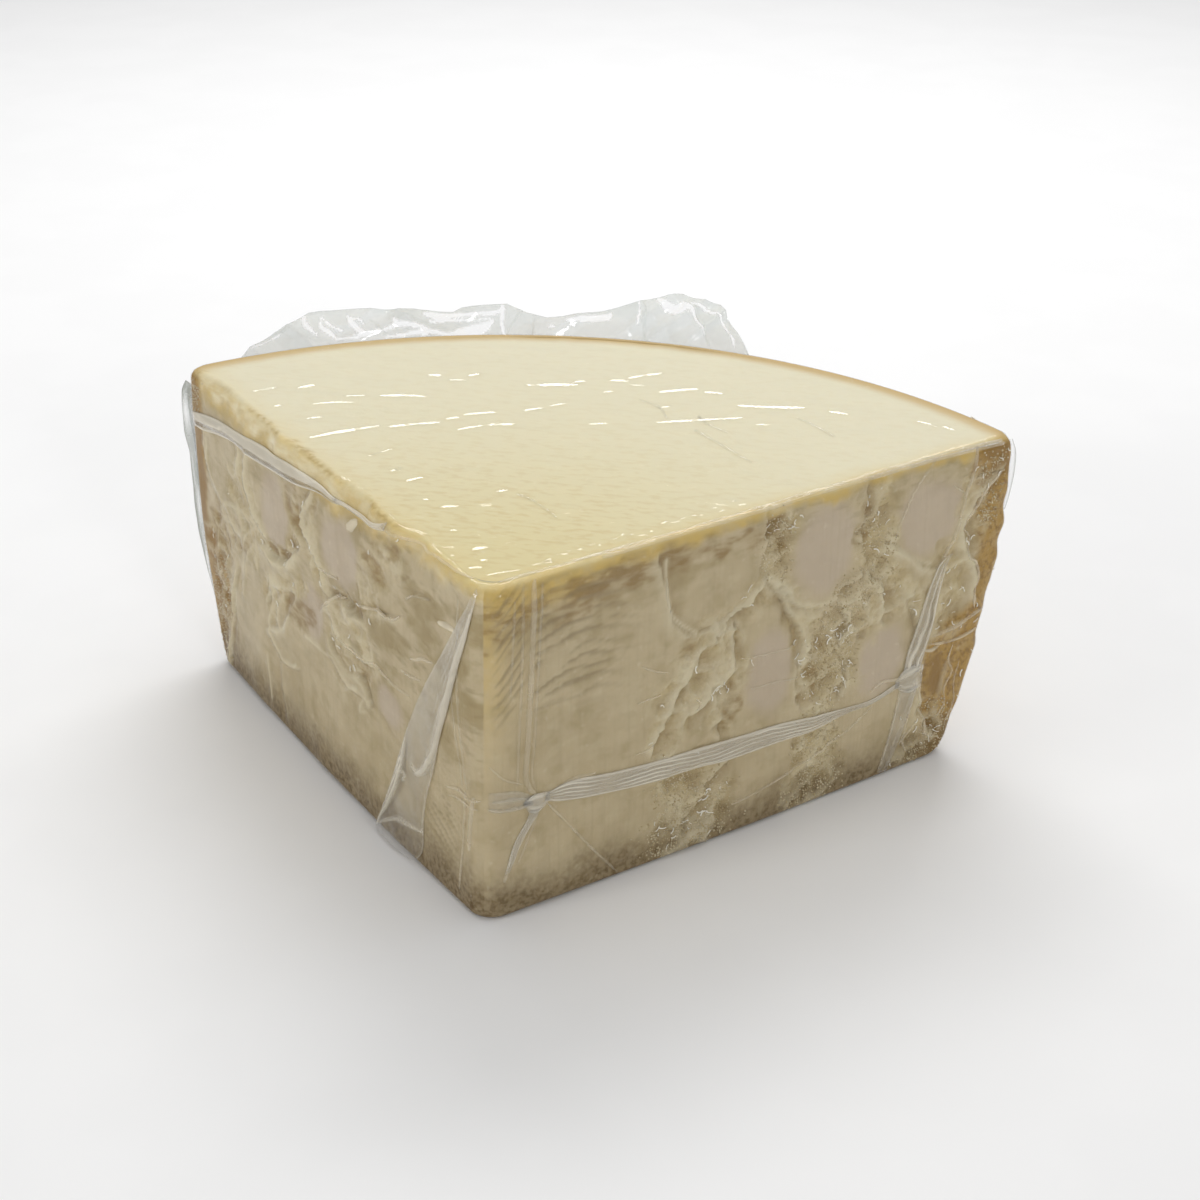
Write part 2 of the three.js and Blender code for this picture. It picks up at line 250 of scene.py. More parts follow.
@dataclass(frozen=True)
class WedgeForm:
    """The wedge without its relief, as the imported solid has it."""

    radius: float = 206.0
    height: float = 117.0
    half_angle: float = math.pi / 4
    tip_to_origin: float = 115.0
    tip_lean: float = 1.5
    tip_round: float = 8.0
    corner_round: float = 5.0
    top_round: float = 4.0
    base_round: float = 2.4
    heel_tall: float = 9.0
    heel_draw: float = 5.5
    barrel_curve: float = 1.55
    right_end: RindEnd = RindEnd(1.5, 92.0, 0.5, 20.5)
    left_end: RindEnd = RindEnd(4.5, 65.0, 3.0, 11.0)

    def rind_radius(self, angle: Array, z: Array) -> Array:
        """Radius of the rind.

        Args:
            angle: Radians from the middle of the rind, positive to the right.
            z: Height.

        Returns:
            The radius from the wheel's axis.
        """
        share = np.clip(0.5 + angle / (2 * self.half_angle), 0, 1)
        mix = lambda name: getattr(self.left_end, name) * (1 - share) + getattr(self.right_end, name) * share
        height = mix("height")
        above = (z - height) / (self.height - height)
        below = (height - z) / height
        draw_top = mix("draw_top") * np.clip(above, 0, 1) ** self.barrel_curve
        draw_base = mix("draw_base") * np.clip(below, 0, 1) ** self.barrel_curve
        heel = self.heel_draw * (1 - np.sqrt(1 - np.clip(1 - z / self.heel_tall, 0, 1) ** 2))
        return self.radius + mix("belly") - draw_top - draw_base - heel

    def rim_inset(self, z: Array) -> Array:
        """How far the outline draws in to round the edges of the top and the base."""
        top = np.clip(1 - (self.height - z) / self.top_round, 0, 1)
        base = np.clip(1 - z / self.base_round, 0, 1)
        return self.top_round * (1 - np.sqrt(1 - top**2)) + self.base_round * (1 - np.sqrt(1 - base**2))

    @staticmethod
    def round_corner(gap: Array, radius: float) -> tuple[Array, Array]:
        """A place at a distance from a square corner, moved onto a round.

        Args:
            gap: Distance from the corner.
            radius: Radius of the round.

        Returns:
            The distance along the face and the depth across it.
        """
        turn = math.pi / 4 * np.clip(1 - gap / radius, 0, 1)
        inside = gap < radius
        return np.where(inside, radius * (1 - np.sin(turn)), gap), radius * (1 - np.cos(turn))

    def face_length(self, side: Side, z: Array) -> Array:
        """Length of a cut face from the tip to the rind at each height."""
        return np.hypot(*self.face_run(side, z)[:2])

    def face_run(self, side: Side, z: Array) -> tuple[Array, Array, Array, Array]:
        """The run of a cut face from the tip to the rind, in x and y, and the tip's x and y."""
        inset = self.rim_inset(z)
        sign = side.value
        tip_x = (2 * z / self.height - 1) * self.tip_lean
        tip_y = inset / math.sin(self.half_angle)
        radius = self.rind_radius(np.full_like(z, sign * self.half_angle), z) - inset
        turn = self.half_angle - np.arcsin(inset / radius)
        return sign * radius * np.sin(turn) - tip_x, radius * np.cos(turn) - tip_y, tip_x, tip_y

    def face_points(self, side: Side, share: Array, z: Array, sink: Array) -> Array:
        """Points of a cut face.

        Args:
            side: Which face.
            share: How far from the tip, 0, to the rind, 1.
            z: Height.
            sink: Depth under the flat face.

        Returns:
            Points in the part's frame.
        """
        sign = side.value
        run_x, run_y, tip_x, tip_y = self.face_run(side, z)
        long = np.hypot(run_x, run_y)
        dir_x, dir_y = run_x / long, run_y / long
        gap = share * long
        at_tip, tip_across = self.round_corner(gap, self.tip_round)
        at_rind, rind_across = self.round_corner(long - gap, self.corner_round)
        place = np.where(share < 0.5, at_tip, long - at_rind)
        deep = tip_across + rind_across + sink
        x = tip_x + dir_x * place - sign * dir_y * deep
        y = tip_y + dir_y * place + sign * dir_x * deep
        return np.stack([x, y - self.tip_to_origin, z], -1)

    def rind_points(self, share: Array, z: Array, out: Array) -> Array:
        """Points of the rind.

        Args:
            share: How far from the right corner, 0, to the left one, 1.
            z: Height.
            out: How far the point stands out of the plain rind.

        Returns:
            Points in the part's frame.
        """
        inset = self.rim_inset(z)
        radius = self.rind_radius(self.half_angle * (1 - 2 * share), z) - inset
        end = self.half_angle - np.arcsin(inset / radius)
        arc = np.minimum(share, 1 - share) * 2 * end * radius
        along, across = self.round_corner(arc, self.corner_round)
        angle = (end - along / radius) * np.where(share < 0.5, 1, -1)
        reach = radius - across + out
        return np.stack([reach * np.sin(angle), reach * np.cos(angle) - self.tip_to_origin, z], -1)


# ---- relief of the cut faces


@dataclass(frozen=True)
class Break:
    """A crack in a cut face, along a path of (s, z).

    Its groove lies to the left of the path's direction if side is 1 and to the right if it is -1,
    and the cheese stands up in a lip on the other side.
    """

    path: Path
    width: float = 1.6
    depth: float = 1.4
    lip: float = 0.5
    side: int = 1


@dataclass(frozen=True)
class FaceMarks:
    """What a cut face shows: its torn zones, cracks and smooth patches, and how it bulges.

    Torn zones, brown zones and crumbly zones are paths of (s, z, half width); the brown zones are partly
    brown paste and rind, partly painted shade beside the deepest cracks. Lips are paths of (s, z) along a
    break that are painted pale: partly cheese stretched thin, partly painted highlight. Pale patches are
    ovals of (s, z, half long, half high). Rind is the path of (s, z) where the browned zone by the rind
    begins.
    """

    side: Side
    seed: int
    bulge: float
    bite: float
    rugged: float  # how rough its torn zones are
    torn: tuple[Path, ...]
    breaks: tuple[Break, ...]
    lips: tuple[Path, ...]
    pale: tuple[tuple[float, float, float, float], ...]
    brown: tuple[Path, ...]
    crumbly: tuple[Path, ...]
    rind: Path


RIGHT_MARKS = FaceMarks(
    side=Side.RIGHT,
    seed=30,
    bulge=1.2,
    bite=0.6,
    rugged=1.0,
    torn=(
        ((106, 119, 6), (107, 104, 6.5), (105, 91, 4)),
        ((103, 89, 5), (93, 83, 6), (82, 76, 8), (73, 64, 10), (68, 51, 8), (66, 41, 6)),
        ((92, 74, 4), (90, 62, 7), (86, 52, 5), (90, 42, 3)),
        ((108, 88, 4), (116, 76, 4), (121, 64, 3.5), (121, 46, 4)),
        ((118, 71, 6), (138, 70, 9), (152, 70, 9), (166, 66, 7)),
        ((128, 64, 9), (131, 50, 11), (128, 40, 9)),
        ((146, 118, 6), (147, 102, 7), (149, 88, 8), (152, 78, 8)),
        ((76, 26, 12), (77, 14, 14), (77, 1, 15)),
        ((128, 30, 9), (128, 16, 11), (128, 1, 11)),
        ((191, 104, 6), (187, 84, 8), (182, 66, 9), (182, 52, 7)),
        ((174, 20, 7), (170, 5, 9)),
    ),
    breaks=(
        Break(((62, 110), (64, 100), (65.5, 93), (69, 86.5), (75, 81.5), (82, 80.5)), 2.6, 1.5, 0.6, 1),
        Break(((82, 80.5), (88, 83), (95, 87), (100, 93), (101, 104), (100.5, 115)), 1.5, 0.8, 0.3, -1),
        Break(((104, 91), (97, 85), (90, 81), (85, 77)), 1.7, 1.5, 0.9, 1),
        Break(((92, 77), (93.5, 69), (91.5, 62), (86, 57.5), (79, 53)), 2.2, 2.2, 1.1, 1),
        Break(((79, 73), (75, 66), (70, 59), (66, 52), (62.5, 44)), 2.2, 1.7, 1.0, 1),
        Break(((84, 57), (86.5, 50), (87.5, 41)), 1.5, 1.5, 0.6, 1),
        Break(((105, 91), (110, 82), (116, 73), (119, 66), (119, 58)), 2.2, 2.1, 0.8, -1),
        Break(((119, 58), (118, 50), (120, 42)), 1.6, 1.3, 0.5, 1),
        Break(((110, 87), (115, 80.5), (121, 77.5), (129, 77), (135, 79), (142, 82.5)), 1.5, 0.9, 0.9, -1),
        Break(((143, 113), (141, 101), (143.5, 90)), 1.9, 1.7, 0.4, 1),
        Break(((151, 91), (158, 86), (166, 80), (174, 77)), 1.6, 0.8, 0.8, 1),
        Break(((146, 83), (152, 74), (154, 64)), 1.5, 1.3, 0.6, 1),
        Break(((133, 74), (137, 66), (134, 58), (138, 50), (136, 40)), 1.4, 1.2, 0.7, -1),
        Break(((162, 70), (166, 63), (169, 54), (167, 44)), 1.8, 1.2, 0.4, -1),
        Break(((90, 29), (84, 24), (80.5, 17), (74, 12)), 2.0, 1.5, 0.5, 1),
        Break(((200, 105), (194, 99), (190, 93), (186.5, 87), (189, 77), (194, 69), (194, 60)), 1.8, 1.0, 0.9, 1),
        Break(((174, 38), (173, 26), (177, 16), (181, 10)), 1.6, 1.0, 0.8, 1),
        Break(((184, 36), (181, 24), (183, 12)), 1.5, 0.9, 0.7, -1),
    ),
    lips=(
        ((64, 110), (64.3, 101), (66, 93), (70, 86.5), (76, 82)),
        ((104, 93), (97, 87), (90, 83), (84, 79)),
        ((157, 88), (164, 83), (172, 78.5)),
    ),
    pale=((126, 97, 13, 16), (170, 96, 15, 14), (106, 58, 10, 16), (152, 48, 12, 13)),
    brown=(
        ((106, 112, 4), (107, 100, 4)),
        ((74, 78, 4), (80, 70, 4)),
        ((90, 56, 3), (91, 44, 3)),
        ((124, 60, 3), (124, 44, 3)),
        ((143, 108, 3), (142, 96, 3)),
        ((4, 104, 8), (20, 108, 6), (40, 109, 6), (60, 109, 5), (84, 109, 3), (100, 110, 3)),
        ((198, 118, 8), (199, 108, 7), (192, 98, 4)),
        ((180, 40, 3), (181, 28, 3)),
    ),
    crumbly=(
        ((76, 24, 13), (77, 12, 15), (77, 0, 16)),
        ((128, 28, 9), (128, 14, 11), (128, 0, 12)),
        ((107, 114, 6), (107, 96, 6)),
        ((197, 112, 7), (198, 92, 5)),
        ((180, 16, 8), (176, 3, 10)),
        ((146, 104, 5), (148, 84, 7), (134, 70, 10), (130, 46, 9)),
    ),
    rind=((187, 119), (188, 102), (192, 90), (193, 76), (192, 60), (180, 52), (173, 44), (173, 26), (175, 0)),
)

LEFT_MARKS = FaceMarks(
    side=Side.LEFT,
    seed=60,
    bulge=2.2,
    bite=3.0,
    rugged=0.5,
    torn=(
        ((102, 108, 4), (110, 97, 6), (105, 86, 6), (100, 76, 5)),
        ((50, 106, 5), (64, 98, 7), (68, 86, 6)),
        ((98, 72, 5), (86, 74, 5), (76, 72, 6), (68, 62, 5)),
        ((94, 60, 4), (84, 58, 5), (72, 56, 4)),
        ((119, 96, 5), (119, 84, 6), (126, 75, 5), (138, 71, 4), (149, 75, 5), (156, 88, 4)),
        ((118, 68, 5), (130, 62, 7), (142, 56, 6), (142, 44, 5)),
        ((164, 96, 5), (168, 84, 7), (160, 74, 6), (156, 64, 5)),
        ((176, 62, 7), (190, 54, 8), (198, 46, 7)),
        ((188, 36, 6), (192, 16, 6)),
    ),
    breaks=(
        Break(((156, 103), (158.5, 95), (158.5, 87), (153, 80), (146, 76.5)), 1.7, 0.9, 1.0, 1),
        Break(((148, 71.5), (141, 69), (134, 70), (127, 74), (120, 79)), 2.2, 1.9, 1.0, -1),
        Break(((107, 107), (112, 99), (114.5, 92.5), (109, 88.5), (104, 84), (101.5, 77), (101, 69)), 2.0, 1.3, 1.1, 1),
        Break(((104, 82), (97, 82), (90, 83.5)), 1.2, 0.7, 0.6, 1),
        Break(((101, 68), (96, 72.5), (88, 75), (77, 75)), 2.4, 2.6, 0.9, -1),
        Break(((100, 67.5), (94, 66), (90.5, 61), (80, 60.5), (69, 62)), 1.6, 1.1, 0.8, 1),
        Break(((96, 57), (93, 53), (85, 51), (75, 52), (70, 47)), 1.8, 1.3, 0.7, -1),
        Break(((97, 50), (90, 47), (84, 45), (74, 47)), 1.4, 0.8, 0.6, 1),
        Break(((46, 90), (54, 85.5), (62, 84), (71, 80.5)), 1.2, 1.0, 0.6, 1),
        Break(((30, 102), (38, 100), (43, 97)), 0.9, 0.7, 0.2, 1),
        Break(((42, 104), (50, 99)), 0.9, 0.6, 0.2, 1),
        Break(((51, 41), (60, 42.5), (67, 46)), 1.4, 0.8, 0.2, 1),
        Break(((126, 62), (134, 60), (141, 56), (147, 49)), 1.6, 1.5, 0.8, -1),
        Break(((129, 52), (135, 43), (142, 40), (148, 38)), 1.5, 0.9, 0.7, 1),
        Break(((124, 33), (132, 30), (139, 30), (147, 36)), 1.4, 0.6, 0.7, -1),
        Break(((163, 71), (167, 75.5), (174, 76), (181, 72), (175, 66), (168, 65), (163, 70)), 1.2, 0.6, 0.7, 1),
        Break(((158, 66), (163, 60), (168, 50), (171, 42)), 1.5, 0.8, 0.5, 1),
        Break(((174, 50), (180, 36), (184, 22), (189, 4)), 1.6, 0.9, 0.9, -1),
        Break(((197, 96), (196, 84), (190, 76), (184, 72)), 1.4, 0.8, 0.5, 1),
        Break(((138, 30), (139, 18), (137, 8)), 2.0, 0.7, 0.3, 1),
    ),
    lips=(
        ((107.5, 107), (111, 101), (114.4, 94), (113, 89.6), (107, 86), (103, 82), (101.4, 75), (101.5, 68)),
        ((101.5, 68), (96, 66.6), (91.5, 63.5), (90, 60)),
        ((156.5, 102), (159, 95), (158.8, 88), (155, 81.5), (149, 78), (144.5, 76.5)),
        ((147.5, 73), (142, 70), (135, 69.8), (128, 73), (121, 78.5)),
        ((140, 60), (144, 55), (147.5, 49)),
        ((127, 62), (134, 60.8), (139, 57.5), (144.5, 51)),
        ((128, 52), (133, 45.5), (139, 41), (147, 38.5)),
        ((146, 44), (147.5, 40), (145, 36), (138, 31), (131, 30), (125, 33.5)),
        ((163, 70), (166, 75), (173, 76), (181, 73), (183, 69), (175, 66), (168, 64.5)),
        ((149, 77), (155, 74), (161, 70), (166, 64), (168, 54), (171, 42)),
        ((195, 94), (196, 84), (191, 76), (184, 72.5)),
        ((94, 57), (90, 54), (82, 53), (76, 55)),
        ((96, 50), (90, 47.6), (84, 45.6), (79, 47)),
        ((96, 45), (90, 42), (84, 44.5)),
        ((70, 47), (75, 45), (77, 40), (73, 41.5)),
        ((100, 49.5), (108, 50), (116, 49.5)),
        ((176, 48), (179.5, 38), (184, 24), (187, 13), (190, 3)),
        ((190, 42), (193, 38), (190, 36)),
        ((150, 26), (149.5, 18), (149, 8)),
    ),
    pale=((86, 93, 13, 13), (136, 88, 11, 15), (109, 62, 8, 11), (56, 52, 9, 8)),
    brown=(
        ((76, 76, 4), (88, 76, 4), (98, 71, 3)),
        ((118, 84, 4), (126, 77, 4), (136, 73, 3), (147, 74, 3)),
        ((54, 108, 4), (62, 102, 5), (70, 88, 4)), ((104, 108, 4), (110, 100, 3)),
        ((72, 57, 4), (88, 55, 3)), ((112, 60, 5), (126, 56, 5)), ((120, 104, 4), (118, 90, 5)),
        ((168, 64, 5), (182, 60, 8), (198, 54, 9)),
        ((120, 94, 3), (119, 84, 3)),
        ((203, 116, 5), (204, 90, 5), (203, 60, 7), (193, 34, 9), (191, 4, 8)),
    ),
    crumbly=(
        ((190, 40, 7), (194, 22, 7), (196, 6, 6)),
        ((201, 114, 4), (202, 98, 4)),
    ),
    rind=((197, 119), (196, 100), (198, 84), (199, 66), (198, 54), (186, 42), (183, 28), (188, 10), (189, 0)),
)


@dataclass
class FaceRelief:
    """The height and the masks of one cut face over a grid of places.

    Args:
        marks: What the face shows.
        form: The wedge.
        share: Place of each column, from the tip, 0, to the rind, 1.
        levels: Height of each row.
    """

    marks: FaceMarks
    form: WedgeForm
    share: Array
    levels: Array
    s: Array = field(init=False)
    z: Array = field(init=False)
    height: Array = field(init=False)
    masks: dict[str, Array] = field(default_factory=dict)

    swell: float = 0.55  # slow unevenness of a torn face
    torn_depth: float = 1.2
    grain: float = 1.15  # height of the crumbs in a torn zone
    grain_size: float = 3.4
    thread: float = 0.75  # height of the strands that curl through a torn zone
    wander: float = 1.3  # how far the edges of the marks stray

    def __post_init__(self) -> None:
        """Works out the height and the masks."""
        share, self.z = np.meshgrid(self.share, self.levels)
        self.s = share * self.form.face_length(self.marks.side, self.z)
        seed = self.marks.seed
        stray_s = self.s + self.wander * self.ragged(9.0, 0)
        stray_z = self.z + self.wander * self.ragged(9.0, 5)
        ends = ease(share, 0.015, 0.07) * ease(share, 1.0, 0.97)
        rims = ease(self.z, 0, 4) * ease(self.z, self.form.height - 1, self.form.height - 7)
        torn = self.zones(self.marks.torn, stray_s, stray_z, 0.45)
        crumbly = self.zones(self.marks.crumbly, stray_s, stray_z, 0.3)
        groove, lip = self.break_heights(stray_s, stray_z)
        ripple = self.ripples()
        stretched = self.stretched_lips()
        bent_s, bent_z = self.s + 0.8 * self.waver(5.0, 7), self.z + 0.8 * self.waver(5.0, 8)
        lumps = crumbs(bent_s, bent_z, self.grain_size, seed + 3) + 0.5 * crumbs(bent_s, bent_z, 1.9, seed + 6)
        rolls = noise(self.s + self.z * 0.4, self.z - self.s * 0.3, 8.0, seed + 2)
        threads = bell(noise(bent_s * 1.2, bent_z, 6.0, seed + 23), 0.13) * ease(self.waver(9.0, 24), -0.4, 0.2)
        height = self.swell * (self.waver(26.0, 0) + 0.4 * self.waver(9.0, 1))
        relief = 1.25 * (1 - abs(rolls) * 2) + self.grain * (lumps - 0.7)
        # where the torn relief sinks and rises: painted shade in its low places, painted highlight on its tops
        low, high = ease(relief, 0.1, -1.2), ease(relief, 0.2, 1.1)
        height += torn * (relief - self.torn_depth + self.thread * threads) * self.marks.rugged
        height += crumbly * 0.45 * (crumbs(bent_s, bent_z, 1.9, seed + 12) - 0.4)
        height += lip - groove - 0.5 * ripple + 0.4 * stretched
        self.height = height * ends * rims - self.bites() + self.bulge(self.s)
        self.masks = {
            "torn": torn * ends,
            # painted shade in the low places of the torn relief
            "crumb": low * np.maximum(torn, crumbly) * ends,
            "loose": crumbly * ends * rims,
            # painted shade in the cracks' grooves
            "groove": np.clip(groove / 1.6, 0, 1) * ends,
            # painted highlight on raised lips, strands and the tops of the torn relief, with the pale stretched lips
            "lip": np.clip(1.3 * lip + stretched + torn * (0.5 * threads + 0.5 * high), 0, 1) * ends,
            "veined": self.veined_mask(),
            "base": self.base_mask(),
            "curl": self.curl_mask(torn, crumbly, groove) * ends * rims,
            "pale": self.pale_mask(stray_s, stray_z) * (1 - torn),
            "brown": self.zones(self.marks.brown, stray_s, stray_z, 0.6),
            "rind": self.rind_mask(stray_s, stray_z),
            # painted shade in the ripples' sunk dashes
            "ripple": ripple,
        }

    def waver(self, cell: float, offset: int) -> Array:
        """Noise over the face's own grid."""
        return noise(self.s, self.z, cell, self.marks.seed + offset)

    def ragged(self, cell: float, offset: int) -> Array:
        """Noise of several sizes over the face's own grid."""
        return crumble(self.s, self.z, cell, self.marks.seed + offset)

    def zones(self, paths: tuple[Path, ...], s: Array, z: Array, ragged: float) -> Array:
        """1 in the zones along some paths, fading to 0 outside them.

        Args:
            paths: Paths of (s, z, half width).
            s: Distances from the tip.
            z: Heights.
            ragged: How uneven the edges are, in half widths.

        Returns:
            The mask.
        """
        mask = np.zeros(s.shape)
        frayed = ragged * self.ragged(5.0, 9)
        for path in paths:
            gap, _, half = near_path(smooth_path(path, 4), s, z)
            mask = np.maximum(mask, ease(gap / half[..., 0] + frayed, 1.4, 0.5))
        return mask

    def break_heights(self, s: Array, z: Array) -> tuple[Array, Array]:
        """The depth of the grooves and the height of the lips beside them."""
        groove, lip = np.zeros(s.shape), np.zeros(s.shape)
        uneven = 0.8 + 0.4 * self.waver(6.0, 11)
        for crack in self.marks.breaks:
            gap, signed, _ = near_path(smooth_path(crack.path, 5), s, z)
            beside = signed * crack.side
            ahead = np.clip(gap - abs(signed) - 0.01, 0, None)
            deep = ease(beside, -0.5, 0.6) * bell(np.maximum(beside, 0), 1.5 * crack.width)
            high = ease(beside, 0.5, -0.6) * bell(np.minimum(beside, 0), 1.3 * crack.width)
            near = uneven * bell(ahead, 1.0) * (gap < 5 * crack.width)
            groove = np.maximum(groove, crack.depth * deep * near)
            lip = np.maximum(lip, crack.lip * high * near)
        return groove, lip

    def stretched_lips(self) -> Array:
        """1 along the drawn-out lips, which are painted pale: partly stretched cheese, partly painted highlight."""
        mask = np.zeros(self.s.shape)
        s, z = self.s + 0.5 * self.waver(7.0, 26), self.z
        for path in self.marks.lips:
            mask = np.maximum(mask, bell(near_path(smooth_path(path, 6), s, z)[0], 0.75))
        return mask * (0.75 + 0.5 * self.waver(9.0, 27))

    def ripples(self) -> Array:
        """The short dashes where the film has gathered near the tip."""
        if self.marks.side is Side.LEFT:
            area = bell(self.s - 25, 11) * bell(self.z - 24, 19)
            climb, pitch = 0.45 * self.s, 3.2
        else:
            area = ease(self.s, 2, 6) * ease(self.s, 62, 34) * ease(self.z, 64, 80)
            area = area * ease(self.z, 118, 112) * (1 - 0.9 * bell(self.s - 16.2, 2.2))
            past = np.maximum(self.s - 16.5, 0)
            climb, pitch = 0.95 * np.minimum(self.s, 16.5) + 0.42 * past - 0.0105 * past**2, 3.9
        across = self.z - climb + 1.6 * self.waver(9.0, 13)
        wave = np.cos(2 * math.pi * across / pitch + 1.6 * noise(self.s * 0.5, across, 4.0, self.marks.seed + 14))
        broken = ease(noise(self.s * 0.5, across, 4.2, self.marks.seed + 18), -0.6, -0.1)
        return ease(wave, 0.2, 0.85) * broken * area

    def veined_mask(self) -> Array:
        """How strongly the fine level grain shows."""
        if self.marks.side is Side.LEFT:
            by_tip = ease(self.s, 110, 60) * ease(self.z, 45, 70)
            return 0.3 + 0.4 * ease(self.z, 40, 60) + 0.3 * by_tip
        return 0.2 + 0.6 * ease(self.z, 90, 108)

    def base_mask(self) -> Array:
        """1 at the base, fading upward, where the cheese is darker and browner: partly the paste by the base rind,
        partly painted shade.
        """
        left = self.marks.side is Side.LEFT
        ragged = 2.5 * self.ragged(7.0, 19)
        return ease(self.z + ragged, 25 if left else 21, 3) * (1.0 if left else 0.9)

    def curl_mask(self, torn: Array, crumbly: Array, groove: Array) -> Array:
        """How many curls of stretched film there are: clusters in the torn zones and by the rind."""
        few = 0.3 if self.marks.side is Side.LEFT else 1.0
        clusters = ease(self.waver(8.0, 25), -0.25, 0.35)
        rind = 0.6 * few * self.rind_mask(self.s, self.z) * (0.2 + bell(self.z - 106, 9))
        beside = np.clip(spread(groove, 2, np.maximum), 0, 1)
        return clusters * np.maximum(np.maximum(torn, crumbly) * (0.25 + 0.75 * beside) * few, rind)

    def pale_mask(self, s: Array, z: Array) -> Array:
        """1 on the smooth pinkish-grey patches."""
        mask = np.zeros(s.shape)
        for middle, height, long, high in self.marks.pale:
            gap = np.hypot((s - middle) / long, (z - height) / high)
            mask = np.maximum(mask, ease(gap, 1.2, 0.7))
        return mask

    def rind_mask(self, s: Array, z: Array) -> Array:
        """1 in the browned zone by the rind."""
        _, signed, _ = near_path(smooth_path(self.marks.rind, 5), s, z)
        return ease(signed, -1.5, 2.5)

    def bites(self) -> Array:
        """How far the top edge is broken away."""
        deep = self.marks.bite * (0.6 + 0.6 * crumble(self.s, self.z * 0.5, 13.0, self.marks.seed + 17))
        along = ease(self.s, 14, 30) * ease(self.s, 200, 182)
        return deep * along * ease(self.z, self.form.height - 11, self.form.height)

    def bulge(self, s: Array) -> Array:
        """The slow bow of the whole face."""
        return self.marks.bulge * np.sin(math.pi * np.clip(s / self.form.radius, 0, 1))

    def drape(self, reach: int, times: int) -> Array:
        """Height of a film that spans so many cells without following them, smoothed so many times."""
        closed = spread(spread(self.height, reach, np.maximum), reach, np.minimum)
        return np.maximum(soften(closed, times), soften(self.height, 1))

    def sample(self, grid: Array, s: Array, z: Array) -> Array:
        """A grid's value at other places of the face.

        Args:
            grid: Values over this face's grid.
            s: Distances from the tip.
            z: Heights.

        Returns:
            The values, of the shape of s.
        """
        share = np.clip(s / self.form.face_length(self.marks.side, z), 0, 1)
        column = np.interp(share, self.share, np.arange(len(self.share)))
        row = np.interp(z, self.levels, np.arange(len(self.levels)))
        j, i = np.minimum(column.astype(int), len(self.share) - 2), np.minimum(row.astype(int), len(self.levels) - 2)
        a, b = column - j, row - i
        low = grid[i, j] * (1 - a) + grid[i, j + 1] * a
        high = grid[i + 1, j] * (1 - a) + grid[i + 1, j + 1] * a
        return low * (1 - b) + high * b

    def over(self, grid: Array, s: Array, z: Array, out: Array) -> Array:
        """Points that stand out of a sheet of heights over the face.

        Args:
            grid: Heights over this face's grid.
            s: Distances from the tip.
            z: Heights above the base.
            out: Distance out of the sheet.

        Returns:
            Points in the part's frame.
        """
        s, z, out = np.broadcast_arrays(s, z, out)
        share = s / self.form.face_length(self.marks.side, z)
        return self.form.face_points(self.marks.side, share, z, -(self.sample(grid, s, z) + out))


# ---- meshes


def make_piece(name: str, points: Array, faces: list[Any] | Array, material: Finish) -> Piece:
    """A mesh object at the origin.

    Args:
        name: The piece's name.
        points: One row of millimetres for each vertex.
        faces: Vertex numbers of each face.
        material: What it is made of.

    Returns:
        The object, linked to the scene and shaded smooth.
    """
    mesh = bpy.data.meshes.new(name)
    mesh.from_pydata((np.asarray(points) * MM).tolist(), [], [list(map(int, face)) for face in faces])
    mesh.materials.append(material)
    mesh.polygons.foreach_set("use_smooth", [True] * len(mesh.polygons))
    mesh.update()
    piece = bpy.data.objects.new(name, mesh)
    bpy.context.scene.collection.objects.link(piece)
    return piece


def paint(piece: Piece, masks: dict[str, Array]) -> None:
    """Stores masks on a piece, one value for each vertex."""
    for name, values in masks.items():
        layer = piece.data.attributes.new(name, "FLOAT", "POINT")
        layer.data.foreach_set("value", np.asarray(values, np.float32).ravel())


def grid_faces(rows: int, columns: int, start: int = 0, wrap: bool = False) -> Array:
    """Quads of a grid of vertices numbered row by row.

    Args:
        rows: Number of rows of vertices.
        columns: Number of vertices in a row.
        start: Number of the first vertex.
        wrap: Whether the last column joins the first.

    Returns:
        One row of four vertex numbers for each quad.
    """
    r, c = np.meshgrid(np.arange(rows - 1), np.arange(columns if wrap else columns - 1), indexing="ij")
    following = (c + 1) % columns
    quads = [r * columns + c, r * columns + following, (r + 1) * columns + following, (r + 1) * columns + c]
    return np.stack(quads, -1).reshape(-1, 4) + start


def film_sheet(name: str, front: Array, back: Array, milk: Array, material: Finish) -> Piece:
    """A closed sheet of film between two grids of points.

    Args:
        name: The piece's name.
        front: Points of the outer skin, rows by columns by 3.
        back: Points of the inner skin, of the same shape.
        milk: How milky the film is at each point, rows by columns.
        material: What it is made of.

    Returns:
        The piece.
    """
    points = np.vstack([front.reshape(-1, 3), back.reshape(-1, 3)])
    piece = make_piece(name, points, sheet_faces(*front.shape[:2]), material)
    paint(piece, {"milk": np.concatenate([milk.ravel(), milk.ravel()])})
    face_outward(piece)
    return piece


def sheet_faces(rows: int, columns: int, start: int = 0) -> list[Any]:
    """Faces of a closed sheet: a front grid of vertices, a back one after it, and the rim."""
    count = rows * columns
    edge = [*range(columns)]
    edge += [r * columns + columns - 1 for r in range(1, rows)]
    edge += [(rows - 1) * columns + c for c in range(columns - 2, -1, -1)]
    edge += [r * columns for r in range(rows - 2, 0, -1)]
    rim = np.array([(a, a + count, b + count, b) for a, b in zip(edge, edge[1:] + edge[:1])]) + start
    return [*grid_faces(rows, columns, start), *grid_faces(rows, columns, start + count)[:, ::-1], *rim]


def face_outward(piece: Piece) -> None:
    """Turns every face of a closed piece outward."""
    net = bmesh.new()
    net.from_mesh(piece.data)
    bmesh.ops.recalc_face_normals(net, faces=net.faces)
    net.to_mesh(piece.data)
    net.free()


